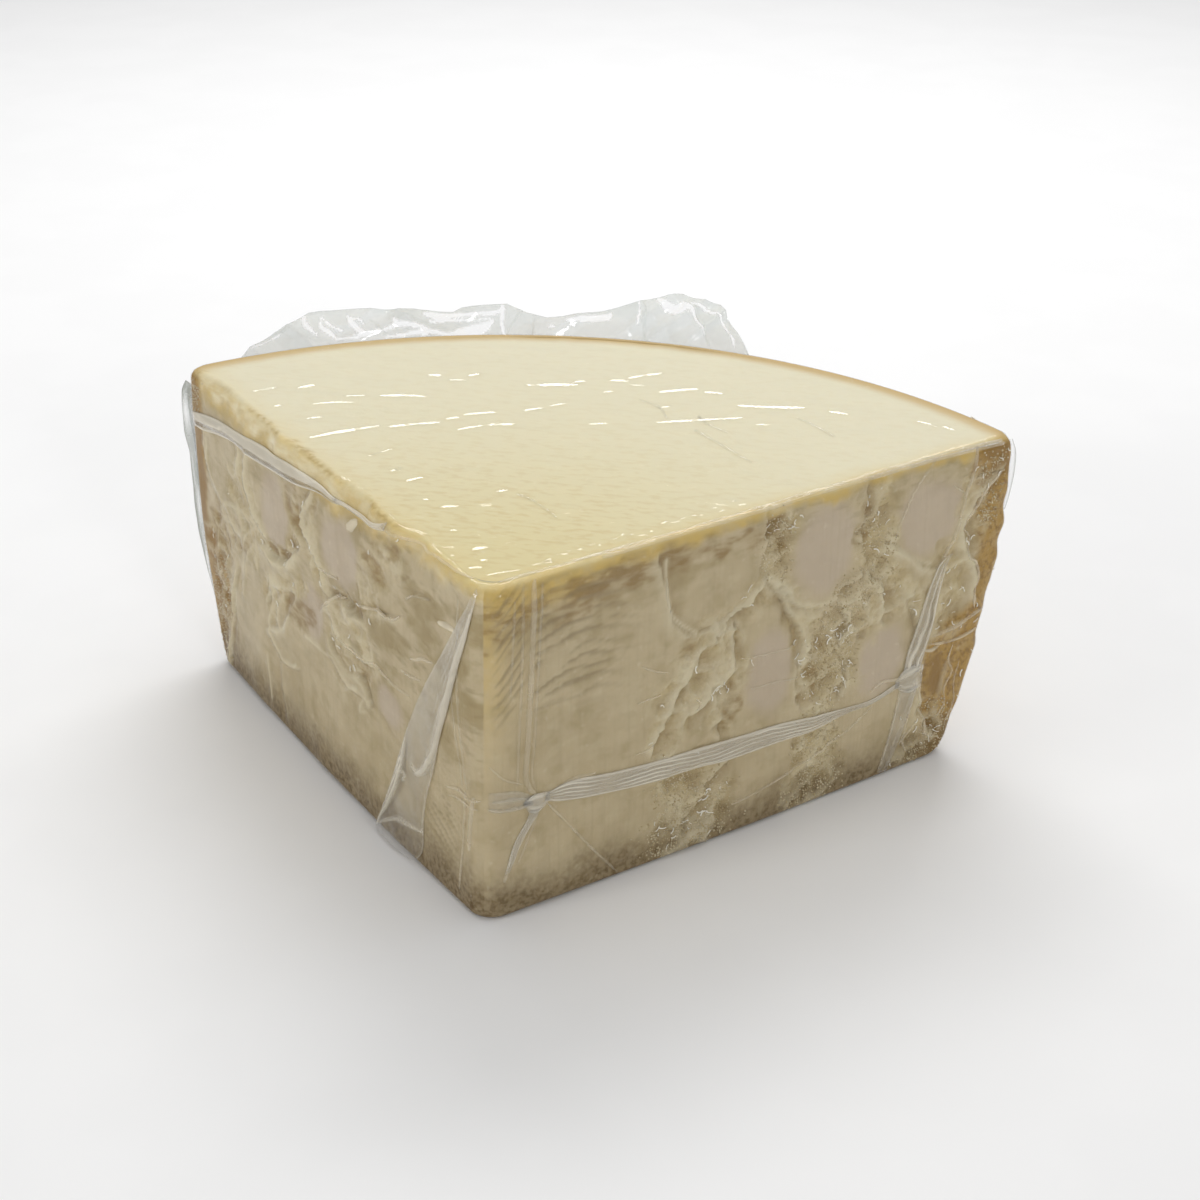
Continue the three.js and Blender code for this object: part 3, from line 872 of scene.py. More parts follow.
def evenly(path: Path, count: int) -> Array:
    """Points at equal steps along a smooth path, with the values that it carries."""
    line = smooth_path(path, 10)
    length = np.concatenate([[0], np.cumsum(np.hypot(*np.diff(line[:, :2], axis=0).T))])
    at = np.linspace(0, length[-1], count)
    return np.column_stack([np.interp(at, length, line[:, k]) for k in range(line.shape[1])])


# ---- finishes


def linear(colour: str) -> tuple[float, float, float, float]:
    """An sRGB hex colour in linear light, with an alpha of 1."""
    parts = [int(colour[k : k + 2], 16) / 255 for k in (1, 3, 5)]
    red, green, blue = (p / 12.92 if p <= 0.04045 else ((p + 0.055) / 1.055) ** 2.4 for p in parts)
    return red, green, blue, 1.0


def add_node(tree: Tree, kind: str, settings: dict[str, Any] | None = None, **inputs: Any) -> Any:
    """Adds a node.

    Args:
        tree: Where it goes.
        kind: Its type name.
        settings: Attributes of the node.
        **inputs: Values or sockets for its inputs, by name with underscores for spaces. A name such
            as in_1 is the input of that number.

    Returns:
        The node.
    """
    node = tree.nodes.new(kind)
    for name, value in (settings or {}).items():
        setattr(node, name, value)
    for name, value in inputs.items():
        key = int(name[3:]) if name.startswith("in_") else name.replace("_", " ")
        socket = node.inputs[key]
        if isinstance(value, bpy.types.NodeSocket):
            tree.links.new(value, socket)
        else:
            socket.default_value = value
    return node


@dataclass
class Recipe:
    """A material being put together, with short names for its steps."""

    name: str
    material: Finish = field(init=False)

    def __post_init__(self) -> None:
        """Starts an empty node tree."""
        self.material = bpy.data.materials.new(self.name)
        self.material.use_nodes = True
        self.tree.nodes.clear()
        self.place = add_node(self.tree, "ShaderNodeTexCoord").outputs["Object"]

    @property
    def tree(self) -> Tree:
        """The material's nodes."""
        return self.material.node_tree

    def mask(self, name: str) -> Any:
        """The values that a piece carries under a name."""
        return add_node(self.tree, "ShaderNodeAttribute", {"attribute_name": name}).outputs["Fac"]

    def speckle(self, size: float, detail: float = 2.0, place: Any = None) -> Any:
        """Noise from 0 to 1 with swells of a size in millimetres."""
        source = place or self.place
        node = add_node(self.tree, "ShaderNodeTexNoise", Vector=source, Scale=1 / (size * MM), Detail=detail)
        return node.outputs["Fac"]

    def stretched(self, x: float, y: float, z: float) -> Any:
        """Object coordinates scaled along each axis."""
        return add_node(self.tree, "ShaderNodeMapping", Vector=self.place, Scale=(x, y, z)).outputs[0]

    def span(self, value: Any, low: float, high: float, to_low: float = 0.0, to_high: float = 1.0) -> Any:
        """A value's range from low to high turned into another, and kept within it."""
        ends = {"in_1": low, "in_2": high, "in_3": to_low, "in_4": to_high}
        smooth = {"interpolation_type": "SMOOTHSTEP"}
        return add_node(self.tree, "ShaderNodeMapRange", smooth, in_0=value, **ends).outputs[0]

    def sum(self, operation: str, first: Any, second: Any) -> Any:
        """Two values put together by a Math node's operation."""
        return add_node(self.tree, "ShaderNodeMath", {"operation": operation}, in_0=first, in_1=second).outputs[0]

    def times(self, first: Any, second: Any) -> Any:
        """Two values multiplied."""
        return self.sum("MULTIPLY", first, second)

    def layers(self, base: Any, *layers: tuple[Any, Any]) -> Any:
        """Colours laid over a base, one after the other.

        Args:
            base: The lowest colour, as hex or a socket.
            *layers: Each colour, as hex or a socket, and the share by which it covers those below.

        Returns:
            The colour that results.
        """
        colour = linear(base) if isinstance(base, str) else base
        for over, share in layers:
            over = linear(over) if isinstance(over, str) else over
            mix = add_node(self.tree, "ShaderNodeMix", {"data_type": "RGBA"}, in_0=share, in_6=colour, in_7=over)
            colour = mix.outputs[2]
        return colour

    def bump(self, height: Any, depth: float, share: float = 1.0) -> Any:
        """A bump of a depth in millimetres."""
        return add_node(self.tree, "ShaderNodeBump", Height=height, Distance=depth * MM, Strength=share).outputs[0]

    def finish(self, shader: Any) -> Finish:
        """Joins the shader to the output and returns the material."""
        add_node(self.tree, "ShaderNodeOutputMaterial", Surface=shader)
        return self.material


@dataclass(frozen=True)
class ParmesanPaste:
    """Aged hard cheese, torn and sawn: matte and waxy, with a fat, fine grain.

    It is straw-coloured, yellower along its edges, greyer where it is smooth, and brown by the rind,
    whose outside is a dry tan crust. Toward the base it is darker and browner, partly the paste by the
    base rind and partly painted shade. Its hollows, grooves and ripples carry painted shade, its lips
    and the tops of its torn relief painted highlight, and its top is paler than the cut sides, partly
    as painted light from above.
    """

    # the top's colour, paler than the cut sides': partly the smooth sawn face, partly painted light from above
    straw: str = "#e1dabd"
    straw_tip: str = "#d8ca94"
    straw_grain: str = "#c9b27a"
    straw_edge: str = "#d9bf78"
    top_line: str = "#a88b47"
    side: str = "#c6b590"
    mottled: str = "#a8956c"
    vein: str = "#8c784c"
    fleck: str = "#d2c6a2"
    blotch: str = "#978452"
    wire_line: str = "#9a8962"
    pale: str = "#c4b39d"
    olive: str = "#937d45"
    torn: str = "#c5b284"
    torn_lit: str = "#d9cca6"
    # painted shade, for the low places, pits and grooves
    hollow_shade: str = "#8d7242"
    brown: str = "#8a6a28"
    gold: str = "#d3b565"
    gold_lit: str = "#f4e9c6"
    rind: str = "#ad8838"
    rind_deep: str = "#775110"
    rind_line: str = "#c3a25c"
    base: str = "#5e4408"
    # pale colour for lips and ridge tops: partly stretched cheese, partly painted highlight
    lip: str = "#dfd4b4"
    # painted shade for the ripples' sunk dashes
    ripple: str = "#83704a"
    sparkle: str = "#f4ecd2"
    score: float = 1.1  # distance between the lines left by the cutting wire

    def build(self) -> Finish:
        """The material for the cheese."""
        recipe = Recipe("parmesan_paste")
        mask, span, speckle, times = recipe.mask, recipe.span, recipe.speckle, recipe.times
        mottle, fine, grains = speckle(14.0, 3.0), speckle(2.4), speckle(1.7, 3.0)
        lines = speckle(self.score, 1.0, recipe.stretched(1.0, 1.0, 0.015))
        veins = speckle(2.6, 4.0, recipe.stretched(0.35, 0.35, 1.0))
        patches = span(speckle(16.0, 3.0, recipe.stretched(0.8, 0.8, 1.5)), 0.46, 0.62)
        rough = recipe.sum("MAXIMUM", mask("torn"), mask("loose"))
        deep = recipe.sum("MAXIMUM", times(mask("brown"), 0.55), span(grains, 0.45, 0.65, 0.0, 0.6))
        side = recipe.layers(
            self.side,
            (self.mottled, times(span(mottle, 0.35, 0.7), 0.35)),
            (self.vein, times(mask("veined"), span(veins, 0.5, 0.72, 0.0, 0.5))),
            (self.fleck, span(speckle(5.0, 4.0), 0.5, 0.75, 0.0, 0.3)),
            (self.blotch, span(speckle(7.0, 4.0), 0.5, 0.75, 0.0, 0.3)),
            (self.olive, times(mask("veined"), times(patches, 0.6))),
            (self.pale, times(mask("pale"), 0.7)),
            (self.wire_line, times(span(lines, 0.5, 0.75), span(mask("pale"), 0, 1, 0.14, 0.1))),
            (self.torn, times(mask("torn"), span(mottle, 0.3, 0.7, 0.35, 0.9))),
            # random specks in the rough zones, painted as shade in pits and as light on grain tops
            (self.hollow_shade, times(rough, span(grains, 0.5, 0.7, 0.0, 0.34))),
            (self.torn_lit, times(rough, span(grains, 0.45, 0.3, 0.0, 0.3))),
            # painted shade in the low places of the torn relief
            (self.hollow_shade, times(mask("crumb"), 0.52)),
            (self.gold, times(mask("gold"), span(speckle(4.0, 3.0), 0.3, 0.62, 0.62, 1.0))),
            (self.gold_lit, times(mask("lit"), span(veins, 0.3, 0.65, 0.9, 0.45))),
            # brown zones: partly brown paste and rind, partly painted shade beside the deepest cracks
            (self.brown, times(mask("brown"), span(veins, 0.38, 0.62, 0.22, 0.72))),
            (self.rind, times(mask("rind"), span(speckle(6.0, 4.0), 0.3, 0.6, 0.75, 1.0))),
            (self.rind_deep, times(mask("rind"), deep)),
            # darker and browner toward the base: partly the paste by the base rind, partly painted shade
            (self.base, times(mask("base"), span(grains, 0.3, 0.65, 1.0, 0.62))),
        )
        grained = span(speckle(2.0, 3.0, recipe.stretched(0.4, 1.0, 1.0)), 0.45, 0.7)
        top = recipe.layers(
            self.straw,
            (self.straw_tip, mask("near_tip")),
            (self.straw_grain, times(grained, span(mask("near_tip"), 0.0, 0.9, 0.1, 0.45))),
            (self.straw_edge, times(mask("top_gold"), span(mottle, 0.3, 0.6, 0.5, 1.0))),
            (self.top_line, times(mask("edge_line"), span(fine, 0.35, 0.6, 0.2, 0.8))),
        )
        colour = recipe.layers(
            # the top, paler than the cut sides: partly painted light from above
            side,
            (top, mask("top")),
            (self.rind_line, mask("rind_line")),
            # painted shade in the cracks' grooves
            (self.hollow_shade, times(mask("groove"), 0.5)),
            # painted shade in the ripples' sunk dashes
            (self.ripple, times(mask("ripple"), 0.5)),
            # pale lips and ridge tops: partly stretched cheese, partly painted highlight
            (self.lip, times(mask("lip"), 0.75)),
            (self.sparkle, span(fine, 0.62, 0.8, 0.0, 0.16)),
        )
        grain = times(speckle(1.1), span(mask("torn"), 0.0, 1.0, 0.3, 1.0))
        scored = times(times(lines, recipe.sum("SUBTRACT", 1.0, mask("top"))), 0.5)
        skin = add_node(
            recipe.tree,
            "ShaderNodeBsdfPrincipled",
            Base_Color=colour,
            Roughness=0.6,
            IOR=1.45,
            Subsurface_Weight=0.1,
            Subsurface_Scale=0.003,
            Subsurface_Radius=(1.0, 0.7, 0.35),
            Normal=recipe.bump(recipe.sum("ADD", grain, scored), 0.45, 0.6),
        )
        return recipe.finish(skin.outputs[0])


@dataclass(frozen=True)
class PressedCrumb:
    """Loose grains of the same cheese, greasy from being pressed under film, so each one glints."""

    colour: str = "#d8cba8"
    shade: str = "#b7a273"

    def build(self) -> Finish:
        """The material for the loose crumbs."""
        recipe = Recipe("pressed_crumb")
        tone = recipe.layers(self.colour, (self.shade, recipe.span(recipe.speckle(5.0), 0.35, 0.65)))
        skin = add_node(recipe.tree, "ShaderNodeBsdfPrincipled", Base_Color=tone, Roughness=0.3, Coat_Weight=0.8)
        return recipe.finish(skin.outputs[0])


@dataclass(frozen=True)
class VacuumFilm:
    """Co-extruded nylon and polyethylene film, blown and clear: thin, glossy and slightly milky.

    Each piece carries how milky it is, which is more where the film lies doubled or is pinched.
    Gather and depth are the size and depth of its fine wrinkles, in millimetres.
    """

    name: str
    roughness: float = 0.1
    gather: float = 5.0
    depth: float = 0.25
    clear: str = "#ffffff"
    white: str = "#eee7d6"
    glow: float = 0.0  # share of the milkiness that lets light through from behind
    sheen: float = 0.045  # share mirrored face on, more where creases lie one over the other
    rim: float = 0.9  # share mirrored edge on
    grained: bool = False
    fading: bool = False  # whether it carries how far it is to be seen at all, as "firm"

    def build(self) -> Finish:
        """The material for the film."""
        recipe = Recipe(self.name)
        tree, white = recipe.tree, linear(self.white)
        wrinkle = recipe.speckle(self.gather)
        if self.grained:
            rough = recipe.times(recipe.speckle(1.6, 1.0), recipe.span(recipe.mask("torn"), 0.2, 1.0, 0.0, 2.5))
            wrinkle = recipe.sum("ADD", wrinkle, rough)
        normal = recipe.bump(wrinkle, self.depth)
        clear = add_node(tree, "ShaderNodeBsdfTransparent", Color=linear(self.clear)).outputs[0]
        gloss = add_node(tree, "ShaderNodeBsdfGlossy", Roughness=self.roughness, Normal=normal).outputs[0]
        slant = add_node(tree, "ShaderNodeLayerWeight", Blend=0.5).outputs["Facing"]
        shine = recipe.span(recipe.sum("POWER", slant, 4.0), 0.0, 1.0, self.sheen, self.rim)
        shine = recipe.times(shine, recipe.mask("firm")) if self.fading else shine
        skin = add_node(tree, "ShaderNodeMixShader", in_0=shine, in_1=clear, in_2=gloss).outputs[0]
        matte = add_node(tree, "ShaderNodeBsdfDiffuse", Color=white, Normal=normal).outputs[0]
        lit = add_node(tree, "ShaderNodeBsdfTranslucent", Color=white, Normal=normal).outputs[0]
        milk = add_node(tree, "ShaderNodeMixShader", in_0=self.glow, in_1=matte, in_2=lit).outputs[0]
        both = add_node(tree, "ShaderNodeMixShader", in_0=recipe.mask("milk"), in_1=skin, in_2=milk)
        return recipe.finish(both.outputs[0])


@dataclass(frozen=True)
class StudioFloor:
    """Matte white studio paper."""

    colour: str = "#f4f4f4"
    shade: str = "#ececec"

    def build(self) -> Finish:
        """The material for the floor."""
        recipe = Recipe("studio_paper")
        tone = recipe.layers(self.colour, (self.shade, recipe.span(recipe.speckle(60.0), 0.4, 0.6, 0.0, 0.15)))
        paper = add_node(recipe.tree, "ShaderNodeBsdfPrincipled", Base_Color=tone, Roughness=0.8)
        return recipe.finish(paper.outputs[0])


# ---- the cheese and its tight film


@dataclass
class TightWedge:
    """The wedge as one closed skin: the cheese, or the film drawn tight over it.

    Args:
        form: The wedge's plain form.
        face_columns: Columns of points over each cut face.
        rind_columns: Columns of points over the rind.
        rows: Rows of points up the sides.
        across: Points across the top face.
        base_across: Points across the base.
        rim_rows: Rows of points round the edges of the top and the base.
        skin_gap: Distance between the film and the cheese.
        haze: How milky the tight film is.
    """

    form: WedgeForm
    face_columns: int = 228
    rind_columns: int = 84
    rows: int = 110
    across: int = 90
    base_across: int = 6
    rim_rows: int = 5
    skin_gap: float = 0.35
    haze: float = 0.012

    def __post_init__(self) -> None:
        """Works out the places of the grid and the faces' relief."""
        form = self.form
        quarter = np.linspace(0, math.pi / 2, self.rim_rows + 1)
        base = form.base_round * (1 - np.cos(quarter[:-1]))
        top = form.height - form.top_round * (1 - np.sin(quarter))
        sides = np.linspace(form.base_round, form.height - form.top_round, self.rows, endpoint=False)
        self.levels = np.concatenate([base, sides, top])
        self.face_share = np.arange(self.face_columns) / self.face_columns
        self.rind_share = np.arange(self.rind_columns) / self.rind_columns
        self.right = FaceRelief(RIGHT_MARKS, form, self.face_share, self.levels)
        self.left = FaceRelief(LEFT_MARKS, form, self.face_share + 1 / self.face_columns, self.levels)

    def sides(self, right: Array, left: Array, rind: Array) -> Array:
        """Points of the sides, row by row, from the tip round by the right.

        Args:
            right: Height of the right face's relief.
            left: Height of the left face's relief.
            rind: How far the rind stands out.

        Returns:
            Rows by columns by 3.
        """
        share, z = np.meshgrid(self.face_share, self.levels)
        rind_share, rind_z = np.meshgrid(self.rind_share, self.levels)
        parts = [
            self.form.face_points(Side.RIGHT, share, z, -right),
            self.form.rind_points(rind_share, rind_z, rind),
            self.form.face_points(Side.LEFT, share + 1 / self.face_columns, z, -left)[:, ::-1],
        ]
        points = np.concatenate(parts, axis=1)
        z = points[..., 2]
        near_corner = bell(np.linalg.norm(points[..., :2] - parts[0][:, -1:, :2], axis=-1), 7.0)
        top = self.form.height
        wave = (0.55 * noise(z, 0 * z, 6.5, 14) - 0.1) * ease(z, 4, 14) * ease(z, top - 1, top - 7)
        points[..., 0] += wave * near_corner
        return points

    def rind_unevenness(self) -> Array:
        """How far the rind bulges and dips, most by its right end."""
        share, z = np.meshgrid(self.rind_share, self.levels)
        arc = share * self.form.radius * math.pi / 2
        top = self.form.height
        fade = ease(share, 1, 0.96) * ease(z, 0, 9) * ease(z, top, top - 7)
        waves = 0.9 * noise(arc, z, 8.5, 9) * bell(share, 0.12) * ease(share, 0, 0.03)
        slow = noise(arc, z, 38.0, 7) * ease(share, 0, 0.04)
        return fade * (slow + 0.35 * crumble(arc, z, 11.0, 8) + waves)

    def skin(self, name: str, sides: Array, top_height: Any, material: Finish) -> Piece:
        """Closes the sides with a top and a base.

        Args:
            name: The piece's name.
            sides: Points of the sides.
            top_height: Height above the flat top at each (x, y) of the wheel's frame.
            material: What it is made of.

        Returns:
            The closed piece.
        """
        rows, columns = sides.shape[:2]
        half = columns // 2
        faces = [grid_faces(rows, columns, 0, wrap=True)]
        points = [sides.reshape(-1, 3)]
        count = rows * columns
        for row, across, up in ((rows - 1, self.across, True), (0, self.base_across, False)):
            ring = sides[row]
            right = ring[1:half]
            left = ring[:half:-1][: half - 1]
            share = np.linspace(0, 1, across)[None, 1:-1, None]
            inner = right[:, None] * (1 - share) + left[:, None] * share
            if up:
                inner[..., 2] += top_height(inner[..., 0], inner[..., 1] + self.form.tip_to_origin)
            numbers = np.arange(inner.shape[0] * inner.shape[1]).reshape(inner.shape[:2]) + count
            first = row * columns
            right_numbers = first + np.arange(1, half)
            left_numbers = first + columns - np.arange(1, half)
            table = np.column_stack([right_numbers, numbers, left_numbers])
            quads = np.stack([table[:-1, :-1], table[1:, :-1], table[1:, 1:], table[:-1, 1:]], -1).reshape(-1, 4)
            ends = [self.fan(first, table[0], False), self.fan(first + half, table[-1], True)]
            for part in (quads, *ends):
                faces.append(part if up else part[:, ::-1])
            points.append(inner.reshape(-1, 3))
            count += inner.shape[0] * inner.shape[1]
        all_faces = [face for part in faces for face in part.tolist()]
        return make_piece(name, np.vstack(points), all_faces, material)

    @staticmethod
    def fan(pole: int, row: Array, flip: bool) -> Array:
        """Triangles from one vertex to a row of them."""
        a, b = row[:-1], row[1:]
        pair = (b, a) if flip else (a, b)
        return np.column_stack([np.full(len(a), pole), *pair])

    def side_masks(self) -> dict[str, Array]:
        """The masks of the sides, rows by columns."""
        bare = np.zeros((len(self.levels), self.rind_columns))
        on_rind = {
            "rind": 1.0,
            # the same darkening toward the base on the rind, partly painted shade
            "base": 0.6 * ease(self.levels, 20, 3)[:, None],
            "brown": ease(self.rind_share, 0.8, 0.97),
            "curl": 0.1 * ease(self.rind_share, 0.1, 0.02),
        }
        join = lambda right, rind, left: np.concatenate([right, rind, left[:, ::-1]], 1)
        masks = {
            name: join(grid, bare + on_rind.get(name, 0.0), self.left.masks[name])
            for name, grid in self.right.masks.items()
        }
        right = 4.5 + 12 * bell(self.right.s - 8, 42)
        left = 7 + 5 * ease(self.left.s, 20, 90)
        # front carries the gold down the tip's rounded front edge as a painted highlight
        front = 0.6 * bell(self.right.s, 10) * ease(self.right.z, 40, 105)
        gold = np.maximum(self.edge_band(self.right, right), front)
        lit = self.edge_band(self.left, 8.0) * (0.45 + 0.55 * ease(self.left.s, 10, 150))
        masks["gold"] = join(gold, bare, self.edge_band(self.left, left))
        masks["lit"] = join(0 * self.right.s, bare, lit)
        return masks

    def edge_band(self, face: FaceRelief, reach: Array) -> Array:
        """The yellow band along the top edge of a cut face, reaching down so far."""
        ragged = 2.0 * crumble(face.s, face.z, 8.0, face.marks.seed + 21)
        return ease(face.z + ragged, self.form.height - reach, self.form.height - 0.3 * reach)

    def top_masks(self, points: Array) -> dict[str, Array]:
        """The masks of vertices by their place on the top face.

        Args:
            points: The piece's vertices.

        Returns:
            Masks for every vertex, 0 off the top.
        """
        x, y = points[:, 0], points[:, 1] + self.form.tip_to_origin
        on_top = ease(points[:, 2], self.form.height - 2.2, self.form.height - 0.6)
        radius = np.hypot(x, y)
        edge = self.form.rind_radius(np.arctan2(x, y), np.full_like(x, self.form.height))
        line = ease(radius, edge - 10, edge - 4) * 0.85 + ease(radius, edge - 5, edge - 2) * 0.15
        by_right, by_left = abs(y - x) / math.sqrt(2), abs(y + x) / math.sqrt(2)
        ragged = 1.5 * crumble(x, y, 9.0, 97)
        by_edges = 0.55 * ease(by_right, 5, 1.5)
        by_edges += (0.9 - 0.5 * ease(radius, 40, 150)) * ease(by_left + ragged, 5.5, 0.5)
        gold = by_edges + 0.35 * ease(by_right, 12, 1) + 0.25 * ease(by_left, 16, 2)
        broken = bell(by_left + ragged - 2.5, 1.5) * ease(radius, 25, 60)
        broken = broken * ease(crumble(x, y, 6.0, 98), -0.5, 0.3)
        masks = {"top": on_top, "rind_line": line * on_top, "top_gold": np.clip(gold, 0, 1)}
        return masks | {"near_tip": bell(radius, 100), "edge_line": broken}

    def dress(self, piece: Piece, milk: float) -> None:
        """Paints the masks on a skin made by this wedge.

        Args:
            piece: The skin.
            milk: How milky it is, for film.
        """
        points = np.empty(len(piece.data.vertices) * 3, np.float32)
        piece.data.vertices.foreach_get("co", points)
        points = points.reshape(-1, 3) / MM
        top = self.top_masks(points)
        masks = {"milk": np.full(len(points), milk)}
        for name, grid in self.side_masks().items():
            values = np.zeros(len(points))
            values[: grid.size] = grid.ravel()
            masks[name] = values
        masks["rind"] = masks["rind"] * (1 - top["top"])
        paint(piece, masks | top)

    def build_cheese(self, material: Finish) -> Piece:
        """The cheese, a little inside the film."""
        gap = self.skin_gap
        sides = self.sides(self.right.height - gap, self.left.height - gap, self.rind_unevenness() - gap)
        sides[-1, :, 2] -= gap
        saw = lambda x, y: 0.12 * noise(x, y * 0.2, 5.0, 91) * ease(y, 3, 12) - 0.25
        piece = self.skin("cheese", sides, saw, material)
        self.dress(piece, 0.0)
        return piece

    def build_film(self, material: Finish) -> Piece:
        """The film that is drawn tight over the whole wedge."""
        right, left = (face.drape(*CLOSE_DRAPE) for face in (self.right, self.left))
        piece = self.skin("tight_film", self.sides(right, left, self.rind_unevenness()), self.top_film, material)
        self.dress(piece, self.haze)
        return piece

    @staticmethod
    def top_film(x: Array, y: Array) -> Array:
        """Height of the film over the top face, with its slow ripples."""
        return 0.16 * noise(x * 0.4, y, 5.0, 95) * ease(y, 2, 10)


# ---- what Geometry Nodes scatter


RANDOM = "FunctionNodeRandomValue"
VECTOR = {"data_type": "FLOAT_VECTOR"}
MULTIPLY = {"operation": "MULTIPLY"}
TURN = 6.3  # radians, a whole turn


@dataclass(frozen=True)
class LooseCrumbs:
    """Crumbs that have come loose along the breaks and are pressed on by the film."""

    per_mm2: float = 1.0
    size: float = 0.85
    least: float = 0.35  # size of the smallest, as a share
    seed: int = 12

    def build(self, cheese: Piece, material: Finish) -> Piece:
        """Scatters the crumbs where the cheese says that it is loose.

        Args:
            cheese: The cheese, which carries the mask "loose".
            material: What the crumbs are made of.

        Returns:
            The crumbs as one piece.
        """
        kinds = {"Per Square Metre": "Float", "Crumb Size": "Float", "Seed": "Int", "Finish": "Material"}
        tree, given, sockets = start_tree("loose_crumbs", kinds)
        spots = scattered(tree, given, "loose")
        crumb = add_node(tree, "GeometryNodeMeshIcoSphere", Radius=0.5, Subdivisions=1).outputs["Mesh"]
        tall = add_node(tree, RANDOM, in_2=self.least, in_3=1.0, Seed=given["Seed"]).outputs[1]
        scale = add_node(tree, "ShaderNodeMath", MULTIPLY, in_0=tall, in_1=given["Crumb Size"]).outputs[0]
        whirl = add_node(tree, RANDOM, VECTOR, in_1=(TURN, TURN, TURN)).outputs[0]
        placed = {"Points": spots["Points"], "Instance": crumb, "Scale": scale, "Rotation": whirl}
        many = add_node(tree, "GeometryNodeInstanceOnPoints", **placed).outputs[0]
        end_tree(tree, many, given["Finish"])
        values = {"Per Square Metre": self.per_mm2 / MM**2, "Crumb Size": self.size * MM}
        values |= {"Seed": self.seed, "Finish": material}
        return grown(cheese, tree, sockets, values, "loose_crumbs")


@dataclass(frozen=True)
class FilmCurls:
    """Small curled creases of the film where it is sucked down over torn cheese, painted near-white as glints."""

    per_mm2: float = 0.085
    bend: float = 1.5  # radius of a curl
    steps: int = 7  # points along a curl
    sides: int = 5
    thick: float = 0.28
    sweep: float = 115.0
    least: tuple[float, float, float] = (0.15, 0.15, 0.4)  # smallest size on each axis
    most: tuple[float, float, float] = (1.25, 0.9, 1.0)
    # how white they are: painted glints
    milk: float = 0.9
    seed: int = 17

    def build(self, film: Piece, material: Finish) -> Piece:
        """Scatters the curls over the film.

        Args:
            film: The tight film, which carries the mask "curl".
            material: What they are made of.

        Returns:
            The curls as one piece.
        """
        kinds = {"Per Square Metre": "Float", "Bend": "Float", "Thickness": "Float", "Sweep": "Float"}
        kinds |= {"Milkiness": "Float", "Seed": "Int", "Finish": "Material"}
        tree, given, sockets = start_tree("film_curls", kinds)
        spots = scattered(tree, given, "curl")
        bent = {"Radius": given["Bend"], "Sweep_Angle": given["Sweep"]}
        arc = add_node(tree, "GeometryNodeCurveArc", Resolution=self.steps, **bent).outputs[0]
        round_off = {"Resolution": self.sides, "Radius": given["Thickness"]}
        ring = add_node(tree, "GeometryNodeCurvePrimitiveCircle", **round_off).outputs[0]
        curl = add_node(tree, "GeometryNodeCurveToMesh", Curve=arc, in_1=ring, Fill_Caps=True).outputs[0]
        turn = add_node(tree, RANDOM, VECTOR, in_1=(0.1, 0.1, TURN), Seed=given["Seed"]).outputs[0]
        turned = {"Rotation": spots["Rotation"], "Rotate_By": turn}
        laid = add_node(tree, "FunctionNodeRotateRotation", {"rotation_space": "LOCAL"}, **turned).outputs[0]
        size = add_node(tree, RANDOM, VECTOR, in_0=self.least, in_1=self.most, Seed=given["Seed"]).outputs[0]
        placed = {"Points": spots["Points"], "Instance": curl, "Scale": size, "Rotation": laid}
        many = add_node(tree, "GeometryNodeInstanceOnPoints", **placed).outputs[0]
        real = add_node(tree, "GeometryNodeRealizeInstances", Geometry=many).outputs[0]
        carried = {"Geometry": real, "Name": "milk", "Value": given["Milkiness"]}
        milky = add_node(tree, "GeometryNodeStoreNamedAttribute", **carried)
        end_tree(tree, milky.outputs[0], given["Finish"])
        values = {"Per Square Metre": self.per_mm2 / MM**2, "Bend": self.bend * MM, "Thickness": self.thick * MM}
        values |= {"Sweep": math.radians(self.sweep), "Milkiness": self.milk, "Seed": self.seed, "Finish": material}
        return grown(film, tree, sockets, values, "film_curls")


def start_tree(name: str, kinds: dict[str, str]) -> tuple[Tree, Any, dict[str, str]]:
    """Starts a Geometry Nodes tree.

    Args:
        name: The tree's name.
        kinds: Type of each input besides the geometry, by name.

    Returns:
        The tree, the outputs of its input node, and the identifiers of its inputs by name.
    """
    tree = bpy.data.node_groups.new(name, "GeometryNodeTree")
    face = tree.interface
    face.new_socket("Geometry", in_out="INPUT", socket_type="NodeSocketGeometry")
    sockets = {
        key: face.new_socket(key, in_out="INPUT", socket_type="NodeSocket" + kind).identifier
        for key, kind in kinds.items()
    }
    face.new_socket("Geometry", in_out="OUTPUT", socket_type="NodeSocketGeometry")
    return tree, add_node(tree, "NodeGroupInput").outputs, sockets


def scattered(tree: Tree, given: Any, mask: str) -> Any:
    """Scatters points over a surface, as densely as the values that it carries under a name.

    Args:
        tree: The tree.
        given: The outputs of its input node.
        mask: The name.

    Returns:
        The outputs of the node that scatters the points.
    """
    share = add_node(tree, "GeometryNodeInputNamedAttribute", Name=mask).outputs[0]
    dense = add_node(tree, "ShaderNodeMath", MULTIPLY, in_0=share, in_1=given["Per Square Metre"]).outputs[0]
    surface = {"Mesh": given["Geometry"], "Density": dense, "Seed": given["Seed"]}
    return add_node(tree, "GeometryNodeDistributePointsOnFaces", **surface).outputs


def end_tree(tree: Tree, geometry: Any, finish: Any) -> None:
    """Ends a Geometry Nodes tree: smooth, real and of one material."""
    smooth = add_node(tree, "GeometryNodeSetShadeSmooth", Geometry=geometry).outputs[0]
    real = add_node(tree, "GeometryNodeRealizeInstances", Geometry=smooth).outputs[0]
    done = add_node(tree, "GeometryNodeSetMaterial", Geometry=real, Material=finish).outputs[0]
    add_node(tree, "NodeGroupOutput", Geometry=done)


